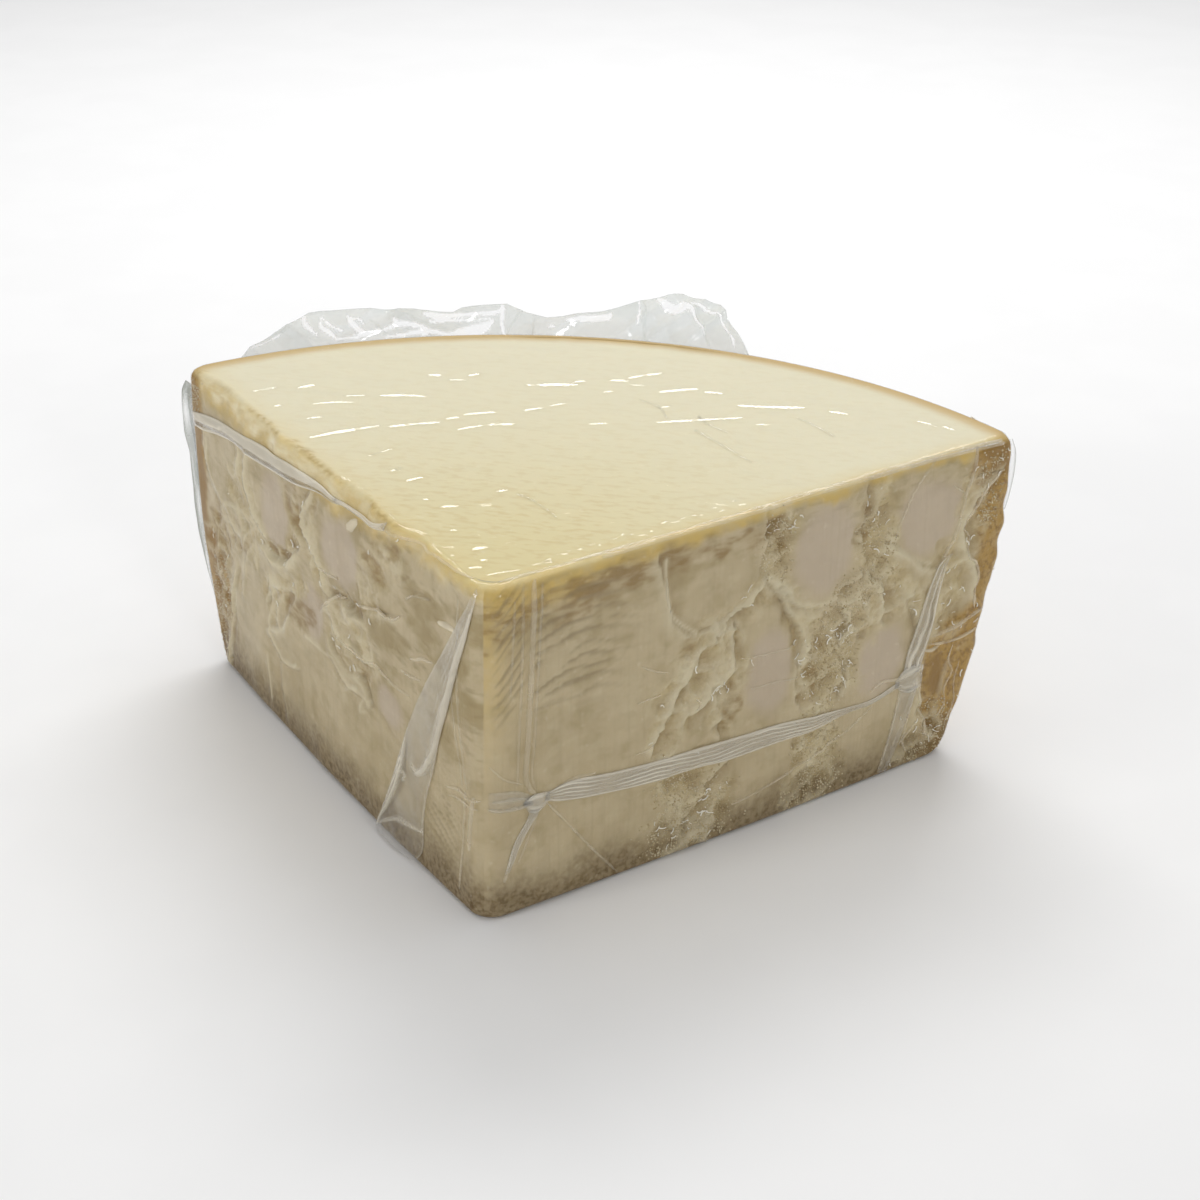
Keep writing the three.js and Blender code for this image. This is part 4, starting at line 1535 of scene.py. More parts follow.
def grown(source: Piece, tree: Tree, sockets: dict[str, str], values: dict[str, Any], name: str) -> Piece:
    """Runs a Geometry Nodes tree on an object and keeps the result as a plain mesh.

    Args:
        source: The object, which is left as it was.
        tree: The tree.
        sockets: Identifiers of its inputs, by name.
        values: Values of its inputs, by name. Finish is the material.
        name: Name of the new piece.

    Returns:
        The new piece.
    """
    modifier = source.modifiers.new(tree.name, "NODES")
    modifier.node_group = tree
    for key, value in values.items():
        modifier[sockets[key]] = value
    graph = bpy.context.evaluated_depsgraph_get()
    mesh = bpy.data.meshes.new_from_object(source.evaluated_get(graph), depsgraph=graph)
    source.modifiers.remove(modifier)
    mesh.name = name
    mesh.materials.clear()
    mesh.materials.append(values["Finish"])
    mesh.polygons.foreach_set("material_index", [0] * len(mesh.polygons))
    piece = bpy.data.objects.new(name, mesh)
    bpy.context.scene.collection.objects.link(piece)
    return piece


# ---- pinched film


@dataclass(frozen=True)
class Welt:
    """A narrow ridge where the film is pinched or stretched.

    Its path is in (s, z) on a cut face or (x, y) from the tip on the top face. half and high are
    its half width and height, milk how milky it is, partly as a painted highlight along the ridge, and
    broken how much it comes and goes along its length.
    """

    path: Path
    half: float = 0.45
    high: float = 0.25
    milk: float = 0.3
    broken: float = 0.3


RIGHT_WELTS = (
    # the upright tuck near the tip
    Welt(((17.4, 116), (17.4, 100), (16.7, 80), (15.8, 60), (15.4, 50), (17.2, 45), (19.5, 42)), 0.95, 0.6, 0.3, 0.1),
    Welt(((13.6, 116), (13.8, 100), (13.3, 80), (12.7, 60), (12.4, 48)), 0.5, 0.3, 0.12, 0.2),
    Welt(((20.2, 115), (19.8, 100), (19.0, 80), (18.1, 60), (17.4, 50), (19, 44)), 0.45, 0.25, 0.12, 0.2),
    Welt(((11, 112), (10.5, 96), (9.6, 80)), 0.4, 0.2, 0.1, 0.4),
    # round the first knot
    Welt(((1, 42), (8, 40.5), (14, 39.8), (19, 40)), 0.6, 0.4, 0.35, 0.2),
    Welt(((3, 44.5), (9, 44), (15, 42.5), (18, 41.5)), 0.4, 0.25, 0.3, 0.4),
    Welt(((2, 57), (7, 52.5), (14, 48)), 0.4, 0.25, 0.25, 0.3),
    Welt(((19, 38), (14, 30), (10.5, 22), (8, 14)), 0.8, 0.4, 0.25, 0.2),
    Welt(((20, 37.5), (17, 29), (12.5, 19)), 0.45, 0.25, 0.2, 0.3),
    Welt(((23, 38), (30, 28.5), (40, 14.5), (50, 1.5)), 0.45, 0.3, 0.32, 0.2),
    Welt(((21, 41.5), (26, 42.2), (32, 44), (40, 43.2)), 0.6, 0.35, 0.35, 0.3),
    # fine threads
    Welt(((94, 12), (110, 15), (125, 19), (140, 24.5), (151, 31)), 0.45, 0.25, 0.25, 0.4),
    Welt(((56, 76), (61, 73), (66, 71)), 0.45, 0.3, 0.3, 0.3),
    Welt(((55, 63.3), (60, 63.4), (64, 63)), 0.4, 0.25, 0.3, 0.4),
    Welt(((55, 45), (59, 45.2), (63, 46)), 0.4, 0.25, 0.3, 0.4),
    Welt(((95, 66.3), (106, 65.5), (117, 64.5)), 0.35, 0.2, 0.2, 0.5),
    Welt(((99, 54.6), (109, 54), (118, 52.5)), 0.35, 0.2, 0.2, 0.5),
    Welt(((179, 105), (182.5, 102.5), (187, 99.5)), 0.4, 0.25, 0.3, 0.3),
    Welt(((170, 116), (163, 109), (158, 100), (155, 93)), 0.45, 0.25, 0.25, 0.5),
    # over the brown zone by the rind
    Welt(((188, 116), (188, 110), (186, 101), (183.2, 91), (178.5, 79), (174, 76)), 0.7, 0.4, 0.35, 0.2),
    Welt(((201, 106), (197, 102), (193, 99), (192, 95), (188.5, 91), (186.5, 87)), 0.7, 0.5, 0.4, 0.4),
    Welt(((186.5, 87), (189.5, 83), (188.5, 77), (193, 73), (195, 67), (193.5, 61), (194.5, 55)), 0.6, 0.4, 0.4, 0.6),
    Welt(((176, 50), (184, 50.4), (192, 52.5), (199, 54)), 0.7, 0.45, 0.4, 0.2),
    Welt(((174.5, 47.4), (181, 46), (189, 45.6), (197, 47)), 0.6, 0.4, 0.4, 0.2),
    Welt(((172, 46), (176, 44.5), (180, 46)), 0.8, 0.5, 0.5, 0.3),
    Welt(((186, 44), (184.5, 38), (187, 33), (184, 27), (185, 21), (181.5, 16)), 0.5, 0.35, 0.35, 0.6),
    Welt(((173, 38), (172.5, 30), (173.5, 22), (178, 14), (177, 11), (181, 9)), 0.6, 0.4, 0.4, 0.3),
    Welt(((172, 18), (168, 11), (169, 6)), 0.5, 0.35, 0.35, 0.5),
    Welt(((190, 36), (188.5, 28), (189.5, 20), (186, 12)), 0.45, 0.3, 0.3, 0.7),
    # round the second knot
    Welt(((163.5, 35), (161.5, 24), (159.5, 12), (157, 2)), 0.5, 0.35, 0.35, 0.2),
    Welt(((170.5, 33), (168.5, 22), (166, 10)), 0.5, 0.35, 0.3, 0.3),
    Welt(((150, 36.8), (155, 39), (160, 38), (164, 38)), 0.6, 0.4, 0.45, 0.4),
    Welt(((77, 58), (79, 55.5), (77.5, 53.5)), 0.5, 0.4, 0.4, 0.3),
    Welt(((64.5, 104), (64.4, 98), (66, 92)), 0.6, 0.3, 0.2, 0.4),
)

LEFT_WELTS = (
    # short stretched wrinkles
    Welt(((47, 89), (50, 86.6), (55, 85), (62, 84.2), (70, 81.5), (75, 80)), 0.62, 0.4, 0.5, 0.3),
    Welt(((27, 82), (33, 80.8), (37, 78.6), (41, 77)), 0.62, 0.4, 0.55, 0.3),
    Welt(((35, 72), (41, 70.8), (47, 70)), 0.62, 0.4, 0.5, 0.3),
    Welt(((15.5, 98.2), (20, 97.8), (25, 96.8)), 1.12, 0.57, 0.75, 0.2),
    Welt(((42, 63), (50, 62.4), (58, 62.8), (64, 63.6), (70, 62), (80, 61), (92, 60.4)), 0.56, 0.34, 0.45, 0.5),
    Welt(((75, 109), (78, 107), (81, 105)), 2, 0.92, 0.7, 0.2),
    Welt(((86, 77.4), (91, 76), (96, 72), (101, 68)), 0.75, 0.46, 0.55, 0.3),
    Welt(((89, 83.4), (96, 82.4), (104, 82.2)), 0.62, 0.34, 0.5, 0.4),
    Welt(((30, 102), (38, 100), (43, 97)), 0.38, 0.17, 0.25, 0.6),
    # by the tip
    Welt(((13, 110), (13.5, 90), (12.8, 70), (11, 54), (9, 46)), 0.5, 0.3, 0.15, 0.3),
    Welt(((17, 80), (15.5, 66), (13, 54), (12, 46)), 0.4, 0.25, 0.12, 0.4),
    Welt(((10, 45), (11, 34), (12, 22), (14, 6)), 0.5, 0.3, 0.25, 0.4),
    Welt(((5.5, 45), (7.5, 34), (8.5, 24)), 0.9, 0.4, 0.35, 0.3),
    Welt(((2, 44.5), (8, 43), (14, 43.5), (21, 41)), 0.6, 0.4, 0.4, 0.3),
    Welt(((3, 41), (9, 40.5), (16, 40), (20, 38)), 0.5, 0.35, 0.4, 0.4),
    Welt(((6, 117), (20, 116.4), (40, 115.6), (60, 113.6)), 0.5, 0.35, 0.35, 0.3),
)

TOP_WELTS = (
    # the film's edge along the right of the top face, whose milk is partly a painted highlight line
    Welt(((4, 9), (26, 30), (55, 58.5), (85, 88.5), (112, 115), (141, 141.5)), 0.6, 0.25, 0.3, 0.35),
    Welt(((30, 31), (60, 61), (90, 91), (118, 118.5), (142, 139.5)), 0.5, 0.2, 0.2, 0.5),
    # faint creases
    Welt(((-5, 68), (2, 63), (11, 54)), 0.3, 0.12, 0.03, 0.4),
    Welt(((41, 128), (52, 117), (63, 106)), 0.35, 0.15, 0.05, 0.4),
    Welt(((73, 145), (80, 139), (87, 132)), 0.35, 0.15, 0.05, 0.4),
    Welt(((40, 140), (45, 133), (52, 128)), 0.3, 0.12, 0.03, 0.4),
    Welt(((18, 150), (26, 144), (30, 136)), 0.3, 0.12, 0.03, 0.5),
)


@dataclass(frozen=True)
class TopStreaks:
    """Stretched wrinkles on the top face, each a narrow ramp toward the tip with a long, easy back.

    A streak is (x, y, x, y, size) from one place to another, with the tip at 0, 0. Small ones lie
    along the right edge.
    """

    surface: Any  # gives the points for x, y and a height over the film
    wide: float = 1.45  # of the ramp, at size 1
    tilt_tip: float = 8.0  # of the ramp by the tip
    tilt_back: float = 12.0
    margin: float = 9.0  # a streak of size 1 keeps so far from the edges, a small one less
    step: float = 0.6  # between the points along a streak
    across: int = 26
    seed: int = TOP_SEED
    streaks: Path = (
        (-115, 128, -107, 134, 0.8), (-101, 135, -95, 139, 0.8), (-83, 95, -62, 110, 1.0),
        (-60, 109, -43, 117, 1.0), (-38, 124, -27, 129, 0.8), (-43, 119, -38, 122, 0.6),
        (-37, 111, -28, 117, 0.6), (-28, 117, -18, 120, 0.8), (-19, 131, -12, 136, 0.7), (-11, 137, -5, 141, 0.4),
        (-83, 131, -74, 133.5, 0.6), (-71, 134, -54, 137, 0.9), (-92, 122, -77, 127, 0.5), (-24, 154, -5, 158, 1.0),
        (-60, 156, -54, 157, 0.8), (-46, 158, -41, 161, 0.8), (-8, 159, -3, 162, 0.6), (10, 167, 22, 175, 0.9),
        (4, 164, 12, 165, 0.8), (12, 161, 18, 162, 0.4), (23, 157, 37, 163, 1.0), (38, 160, 46, 160, 0.8),
        (4, 153, 8, 155, 0.6), (27, 131, 56, 141.5, 1.0), (51, 151, 75, 154, 1.1),
        (82, 152, 90, 151, 0.8), (26, 143, 30, 146, 0.5), (-52, 153, -44, 154, 0.5), (5, 125, 12, 127, 0.5),
        (-89, 110, -83, 113, 0.6), (-103, 117, -100, 119, 0.6), (-59, 84, -52, 93, 0.4), (-49, 75, -45, 79, 0.7),
        (-42, 69, -36, 74, 0.8), (-12, 68, -8, 70, 0.7), (-33, 57, -30, 58, 0.6), (-26, 53, -20, 55, 0.8),
        (-19, 38, -16, 39, 0.6), (-9, 27, -4, 30, 0.8), (-7, 15.5, -2, 17, 0.6), (-1, 12, 9, 18, 0.9),
        (11, 21, 17, 25, 0.7), (-15, 22, -12, 23, 0.5), (-5, 21, -2, 22, 0.5),
        (60, 136, 65, 137, 0.4), (112, 150, 120, 147, 0.5), (121, 148, 126, 145, 0.5),
    )

    def build(self, material: Finish) -> Piece:
        """All the streaks as one piece."""
        rng = np.random.default_rng(self.seed)
        starts = [(x, x + rng.uniform(9, 14)) for x in np.arange(14, 66, 2.6)]
        small = [
            (x, y, x + rng.uniform(1.5, 3.5), y + rng.uniform(1.0, 2.4), rng.uniform(0.25, 0.5)) for x, y in starts
        ]
        points, faces, firm, count = [], [], [], 0
        for number, streak in enumerate((*self.streaks, *small)):
            front, back, mask = self.ramp(streak, self.seed + number)
            faces += sheet_faces(*mask.shape, count)
            points += [front.reshape(-1, 3), back.reshape(-1, 3)]
            firm += [mask.ravel(), 0 * mask.ravel()]
            count += 2 * mask.size
        piece = make_piece("top_streaks", np.vstack(points), faces, material)
        paint(piece, {"firm": np.concatenate(firm), "milk": np.zeros(count)})
        face_outward(piece)
        return piece

    def ramp(self, streak: tuple[float, ...], seed: int) -> tuple[Array, Array, Array]:
        """One streak.

        Args:
            streak: Its ends and size.
            seed: How it wavers.

        Returns:
            The points of its front and its back, and how far it shows, in a grid along by across.
        """
        x0, y0, x1, y1, size = streak
        length = math.hypot(x1 - x0, y1 - y0)
        inside = min(y0, y1) - max(abs(x0), abs(x1))
        size = min(size, inside / self.margin) if inside > 0 else size
        count = max(int(length / self.step), 8)
        u, t = np.meshgrid(np.linspace(0, 1, count), np.linspace(-1.3, 2.6, self.across), indexing="ij")
        along = ((x1 - x0) / length, (y1 - y0) / length)
        swing = noise(u * length, 0 * u, 6.0, seed)
        wide = self.wide * size * (0.3 + 0.7 * np.sin(math.pi * u) ** 0.6) * (1 + 0.2 * swing)
        aside = t * wide + 0.3 * noise(u * length, 0 * u, 9.0, seed + 500) + 0.5 * np.sin(math.pi * u)
        x, y = x0 + (x1 - x0) * u - along[1] * aside, y0 + (y1 - y0) * u + along[0] * aside
        slope = ease(t, -1.1, -0.9) * ease(t, 0.15, -0.15)
        slope -= 0.5 * ease(t, 0.0, 0.4) * ease(t, 2.4, 2.0)
        climb = np.cumsum(slope, axis=1) * (t[0, 1] - t[0, 0])
        tilt = math.radians(self.tilt_tip + (self.tilt_back - self.tilt_tip) * min(y0 / 150, 1))
        ends = ease(np.minimum(u, 1 - u) * length, 0, 1.2)
        shown = 1 - 0.8 * ease(noise(u * length, 0 * u, 3.4, seed + 700), 0.6, 0.85)
        high = wide * math.tan(tilt) * climb * (0.3 + 0.7 * ends)
        mask = ease(t, -1.3, -1.0) * ease(t, 0.35, 0.0) * ends * shown
        return self.surface(x, y, high - 0.05), self.surface(x, y, 0 * x - 0.2), mask


@dataclass
class PinchedFilm:
    """Ridges of pinched film, run along their paths as tubes that are sunk so that a cap shows."""

    name: str
    sides: int = 8
    waver: float = 0.25  # how far a ridge strays from its path
    waver_size: float = 5.0
    point: float = 4.0  # length over which a ridge comes to a point
    step: float = 0.9  # between the points along a ridge
    seed: int = 5
    points: list[Array] = field(default_factory=list)
    reach: list[Array] = field(default_factory=list)
    milk: list[Array] = field(default_factory=list)

    def add(self, welt: Welt, place: Any) -> None:
        """Adds a ridge.

        Args:
            welt: The ridge.
            place: Gives the points for two coordinates of the path and a height over the surface.
        """
        length = path_length(welt.path, 12)
        count = max(int(length / self.step), 6)
        line = evenly(welt.path, count)
        tube = (welt.half**2 + welt.high**2) / (2 * welt.high)
        sink = tube - welt.high
        u = np.linspace(0, 1, count)
        along = u * length
        taper = np.clip(np.minimum(u, 1 - u) * length / self.point, 0, 1) ** 0.6
        self.seed += 1
        broken = welt.broken * (0.5 + 0.5 * noise(along, np.zeros(count), 3.2, self.seed))
        self.points.append(place(line[:, 0], line[:, 1], np.full(count, -sink)))
        self.reach.append(sink + welt.high * (taper - broken))
        self.milk.append(welt.milk * (0.7 + 0.5 * noise(along, np.ones(count), 4.0, self.seed)))

    def build(self, material: Finish) -> Piece:
        """All the ridges as one piece."""
        starts = np.cumsum([0] + [len(p) for p in self.points])
        edges = [(k, k + 1) for a, b in zip(starts[:-1], starts[1:]) for k in range(a, b - 1)]
        mesh = bpy.data.meshes.new(self.name + "_paths")
        mesh.from_pydata((np.vstack(self.points) * MM).tolist(), edges, [])
        paths = bpy.data.objects.new(self.name + "_paths", mesh)
        bpy.context.scene.collection.objects.link(paths)
        paint(paths, {"reach": np.concatenate(self.reach) * MM, "milk": np.concatenate(self.milk)})
        kinds = {"Sides": "Int", "Waver": "Float", "Waver Size": "Float", "Finish": "Material"}
        tree, given, sockets = start_tree(self.name, kinds)
        curve = add_node(tree, "GeometryNodeMeshToCurve", Mesh=given["Geometry"]).outputs[0]
        reach = add_node(tree, "GeometryNodeInputNamedAttribute", Name="reach").outputs[0]
        scale = add_node(tree, "ShaderNodeMath", {"operation": "DIVIDE"}, in_0=1.0, in_1=given["Waver Size"]).outputs[0]
        wobble = add_node(tree, "ShaderNodeTexNoise", Scale=scale, Detail=1.0).outputs["Color"]
        halves = (0.5, 0.5, 0.5)
        middle = add_node(tree, "ShaderNodeVectorMath", {"operation": "SUBTRACT"}, in_0=wobble, in_1=halves).outputs[0]
        shift = add_node(tree, "ShaderNodeVectorMath", {"operation": "SCALE"}, in_0=middle, Scale=given["Waver"])
        strayed = add_node(tree, "GeometryNodeSetPosition", Geometry=curve, Offset=shift.outputs[0]).outputs[0]
        ring = add_node(tree, "GeometryNodeCurvePrimitiveCircle", Resolution=given["Sides"], Radius=1.0).outputs[0]
        tube = add_node(tree, "GeometryNodeCurveToMesh", Curve=strayed, in_1=ring, in_2=reach, Fill_Caps=True)
        end_tree(tree, tube.outputs[0], given["Finish"])
        values = {"Sides": self.sides, "Waver": self.waver * MM, "Waver Size": self.waver_size * MM}
        piece = grown(paths, tree, sockets, values | {"Finish": material}, self.name)
        bpy.data.objects.remove(paths)
        return piece


# ---- folds and free film


@dataclass(frozen=True)
class FilmFold:
    """A doubled fold of film that lies on a cut face, between two edges.

    Each edge is a path of (s, z). Rise is a path of (distance along, height), for how far the fold
    stands out, ribs how many small folds run along it, and lift how far its ends stand off.
    """

    name: str
    upper: Path
    lower: Path
    rise: Path
    ribs: float = 3.0
    rib_height: float = 0.3
    crumple: float = 0.2
    milk: float = 0.16
    # how much whiter the rib crests and rims are: partly the creased film's haze, partly painted highlight lines
    streaks: float = 0.4
    gap: tuple[float, float] | None = None  # a clear stretch across the fold, as shares
    lift: float = 0.1
    thick: float = 0.15
    seed: int = 1
    step: float = 1.0
    across: int = 26

    def build(self, relief: FaceRelief, sheet: Array, material: Finish) -> Piece:
        """The fold as a closed sheet.

        Args:
            relief: The face that it lies on.
            sheet: Heights over the face that the fold rests on.
            material: What it is made of.

        Returns:
            The piece.
        """
        length = path_length(self.upper, 10)
        count = max(int(length / self.step), 16)
        upper, lower = evenly(self.upper, count), evenly(self.lower, count)
        rise = evenly(self.rise, count)[:, 1][:, None]
        v = np.linspace(0, 1, self.across)[None, :]
        s = upper[:, :1] * (1 - v) + lower[:, :1] * v
        z = np.clip(upper[:, 1:] * (1 - v) + lower[:, 1:] * v, 0.6, relief.form.height - 0.6)
        along = np.linspace(0, length, count)[:, None]
        swell = np.sin(math.pi * v) ** 0.6
        wobble = 0.8 * noise(along, v * 6, 20.0, self.seed) + 0.15 * noise(along, v * 9, 5.0, self.seed + 1)
        wave = 0.5 + 0.5 * np.cos(2 * math.pi * self.ribs * (v + wobble / self.ribs))
        ends = ease(along, 0, 4) * ease(along, length, length - 4)
        rough = self.crumple * crumble(s, z, 4.5, self.seed + 2)
        out = self.lift + (rise * swell * 0.5 + self.rib_height * wave * swell + rough * swell) * ends
        rims = bell(v - 0.06, 0.05) + bell(v - 0.94, 0.05)
        bundles = 0.6 + 0.5 * noise(along, v * 20, 12.0, self.seed + 4)
        bundles = bundles + 0.35 * noise(along * 0.3, v * 14, 3.0, self.seed + 5)
        # milkier along the rib crests and the rims: partly the creased film's haze, partly painted highlight lines
        milk = self.milk + self.streaks * np.maximum(wave**3 * bundles, 0.5 * rims)
        if self.gap:
            first, last = self.gap
            milk = milk * (1 - 0.9 * ease(v, first, first + 0.08) * ease(v, last, last - 0.08))
        milk = np.clip(milk, 0, 0.8) * (0.25 + 0.75 * ends)
        front, back = (relief.over(sheet, s, z, out - deep) for deep in (0, self.thick))
        return film_sheet(self.name, front, back, np.broadcast_to(milk, s.shape), material)


RIGHT_FOLDS = (
    FilmFold(
        "waist_fold",
        upper=((22.5, 42), (32, 43.6), (50, 41.2), (80, 38.8), (110, 37.6), (135, 34.8), (150, 33.8), (162.5, 36.8)),
        lower=(
            (22, 39.4), (30, 36.8), (50, 33.8), (80, 30.8), (110, 30.4), (126, 30.4), (140, 32), (150, 32),
            (162.5, 34.6),
        ),
        rise=((0, 0.5), (30, 0.9), (90, 1.1), (130, 0.8), (166, 0.5)),
        ribs=5.2, rib_height=0.3, milk=0.2, streaks=0.75, across=52, seed=201,
    ),
    FilmFold(
        "rind_fold",
        upper=((179, 80), (174.5, 76), (170.5, 66), (167.5, 54), (165, 46), (164, 39)),
        lower=((181, 80), (178.5, 76), (176.5, 66), (175, 54), (173, 46), (171, 38)),
        rise=((0, 0.5), (15, 1.0), (30, 1.6), (45, 0.8)),
        ribs=2.2, rib_height=0.5, milk=0.05, streaks=0.75, seed=211,
    ),
    FilmFold(
        "foot_fold",
        upper=((163.5, 32.5), (161.5, 24), (159, 10), (157, 2)),
        lower=((171, 32.5), (168.5, 24), (164, 10), (160.5, 2)),
        rise=((0, 0.6), (20, 0.5), (35, 0.3)),
        ribs=1.5, milk=0.03, streaks=0.2, seed=221,
    ),
    FilmFold(
        "front_fold",
        upper=((1.5, 48), (8, 47.5), (13, 46), (17.5, 43)),
        lower=((1.5, 41), (8, 40), (13, 39.2), (17.5, 39.6)),
        rise=((0, 0.2), (12, 0.5), (20, 0.6)),
        ribs=1.6, milk=0.02, streaks=0.13, seed=231,
    ),
    FilmFold(
        "knot_fold",
        upper=((20.5, 37.5), (18.5, 34), (14, 27), (10, 18)),
        lower=((16.5, 37.5), (15.2, 34), (11, 27), (8, 17)),
        rise=((0, 0.6), (12, 0.5), (26, 0.2)),
        ribs=1.2, milk=0.14, streaks=0.3, seed=241,
    ),
    FilmFold(
        "near_knot",
        upper=((14.2, 41.4), (16.5, 42.8), (19.5, 43.2), (23.5, 42.6)),
        lower=((14.8, 39.8), (16.5, 37.2), (19.5, 36.4), (23.5, 39.2)),
        rise=((0, 0.5), (4, 0.9), (10, 0.5)),
        ribs=1.7, crumple=0.45, milk=0.22, streaks=0.45, lift=0.3, seed=245,
    ),
    FilmFold(
        "far_knot",
        upper=((160.5, 37.4), (164, 40.6), (168, 41.6), (172.5, 40.6)),
        lower=((160.5, 35), (164, 32.4), (168, 31), (172.5, 32.6)),
        rise=((0, 0.5), (6, 1.3), (12, 0.6)),
        ribs=2.0, crumple=0.5, milk=0.16, streaks=0.45, lift=0.3, seed=246,
    ),
)

LEFT_FOLDS = (
    FilmFold(
        "side_seam",
        upper=(
            (205, 100.5), (195, 103), (182, 105.5), (165, 107.5), (150, 109.5), (120, 112), (100, 112.8),
            (86, 112.4),
        ),
        lower=((205, 95), (195, 96.5), (182, 99.5), (165, 102.5), (150, 102.8), (120, 106), (100, 110), (86, 111)),
        rise=((0, 0.8), (60, 1.6), (90, 1.4), (120, 0.6)),
        ribs=1.1, rib_height=0.4, crumple=0.08, milk=0.5, streaks=0.4, gap=(0.5, 0.85), seed=251,
    ),
    FilmFold(
        "seam_tail",
        upper=((90, 112.6), (80, 112.4), (66, 113.4), (56, 116.2)),
        lower=((90, 111.2), (80, 111.2), (66, 111.6), (57, 113.8)),
        rise=((0, 0.8), (20, 0.7), (34, 0.4)),
        ribs=1.0, milk=0.35, streaks=0.4, across=12, seed=261,
    ),
)


@dataclass(frozen=True)
class FoldedEar:
    """The bag's corner, turned down flat over the left face, with a pouch at its foot."""

    near: Path = (
        (2.5, 115), (8, 99), (13.5, 84), (18.5, 70), (22.4, 60), (28, 43), (33, 30), (35, 20), (36, 8), (41, 1),
    )
    far: Path = ((3.5, 116), (13, 102), (26, 81), (36, 65), (44, 50), (50, 37), (55.5, 25), (62, 11), (67, 1.5))
    hem: Path = ((5, 108), (11.5, 92), (17, 77), (22, 63), (27, 50), (31, 42), (36, 38))
    rim: Path = ((45, 45), (46.5, 36), (50, 27), (55.5, 17), (62, 8), (67, 2))  # of the outer flap
    mouth: Path = ((34, 16), (40, 15.5), (48, 14), (54, 10.5), (60, 6.5), (66, 2))  # of the pouch
    tick: Path = ((29, 47), (33, 41), (36.5, 38.2), (39.5, 38.6))  # a crease beside the hem
    curl: Path = ((46, 38.5), (49.5, 36), (50, 33.5), (45, 32.5), (46.5, 30))  # a small one by the rim
    seed: int = 301
    rows: int = 170
    across: int = 64
    thick: float = 0.2

    def build(self, relief: FaceRelief, sheet: Array, material: Finish) -> Piece:
        """The ear as a closed sheet.

        Args:
            relief: The left face.
            sheet: Heights over the face that the ear rests on.
            material: What it is made of.

        Returns:
            The piece.
        """
        near, far = evenly(self.near, self.rows), evenly(self.far, self.rows)
        v, u = np.meshgrid(np.linspace(0, 1, self.across), np.linspace(0, 1, self.rows))
        s = near[:, :1] * (1 - v) + far[:, :1] * v
        z = np.maximum(near[:, 1:] * (1 - v) + far[:, 1:] * v, 0.7)
        wide = np.hypot(*(far - near).T)[:, None]
        edge = np.clip(v * wide / 1.5, 0, 1) ** 0.5 * np.clip((1 - v) * wide / 5, 0, 1) ** 0.7
        off = lambda path: near_path(smooth_path(path, 6), s, z)
        mouth, rim, from_hem = off(self.mouth), off(self.rim), off(self.hem)[0]
        hem, tick, curl = bell(from_hem, 0.8), bell(off(self.tick)[0], 1.0), bell(off(self.curl)[0], 0.6)
        crest, arc = bell(rim[0], 0.6), bell(mouth[0], 0.6)
        under = ease(mouth[1], 0.5, -0.5) * ease(u, 0.7, 0.8)
        flap = ease(rim[1], -0.3, 0.3) * ease(u, 0.5, 0.6)
        pleats = 0.5 + 0.5 * np.cos(2 * math.pi * (s * 0.45 + z * 0.2 + 0.6 * noise(s, z, 8.0, self.seed + 1)))
        gathered = ease(from_hem, 7, 1) * ease(u, 0.62, 0.4) * pleats
        rough = 0.25 * crumble(s, z, 7.0, self.seed) + 0.2 * gathered
        out = 0.25 + (0.5 + 0.5 * u + 0.7 * hem + 0.6 * tick + 0.5 * curl + 0.8 * crest + 0.5 * arc + rough) * edge
        out += (0.7 * flap + 1.3 * under * ease(v, 0, 0.5) + 0.15 * pleats * flap) * edge
        # whiter along the hem, the creases, the rim, the pouch's mouth and the flap's pleats: partly the doubled film's
        # haze, partly painted highlight lines
        milk = 0.1 - 0.06 * ease(u, 0.6, 0.8) + 0.05 * noise(s * 1.5, z * 0.6, 9.0, self.seed + 2)
        milk += 0.25 * hem + 0.3 * tick + 0.3 * curl + 0.1 * gathered
        milk += 0.35 * crest + 0.3 * arc + flap * (0.2 + 0.5 * pleats**2 * bell(u - 0.72, 0.12)) - 0.09 * under
        milk += 0.14 * ease(v, 0.0, 0.04) * ease(v, 0.3, 0.15) * ease(u, 0.7, 0.5)
        border = 1 - np.clip(np.minimum(v, 1 - v) * wide / 0.6, 0, 1)
        milk += 0.2 * border * ease(u, 0.0, 0.1) * ease(v - 0.6 * u, 0.6, 0.1)
        front, back = (relief.over(sheet, s, z, out - deep) for deep in (0, self.thick))
        return film_sheet("folded_ear", front, back, np.clip(milk, 0.02, 0.8), material)


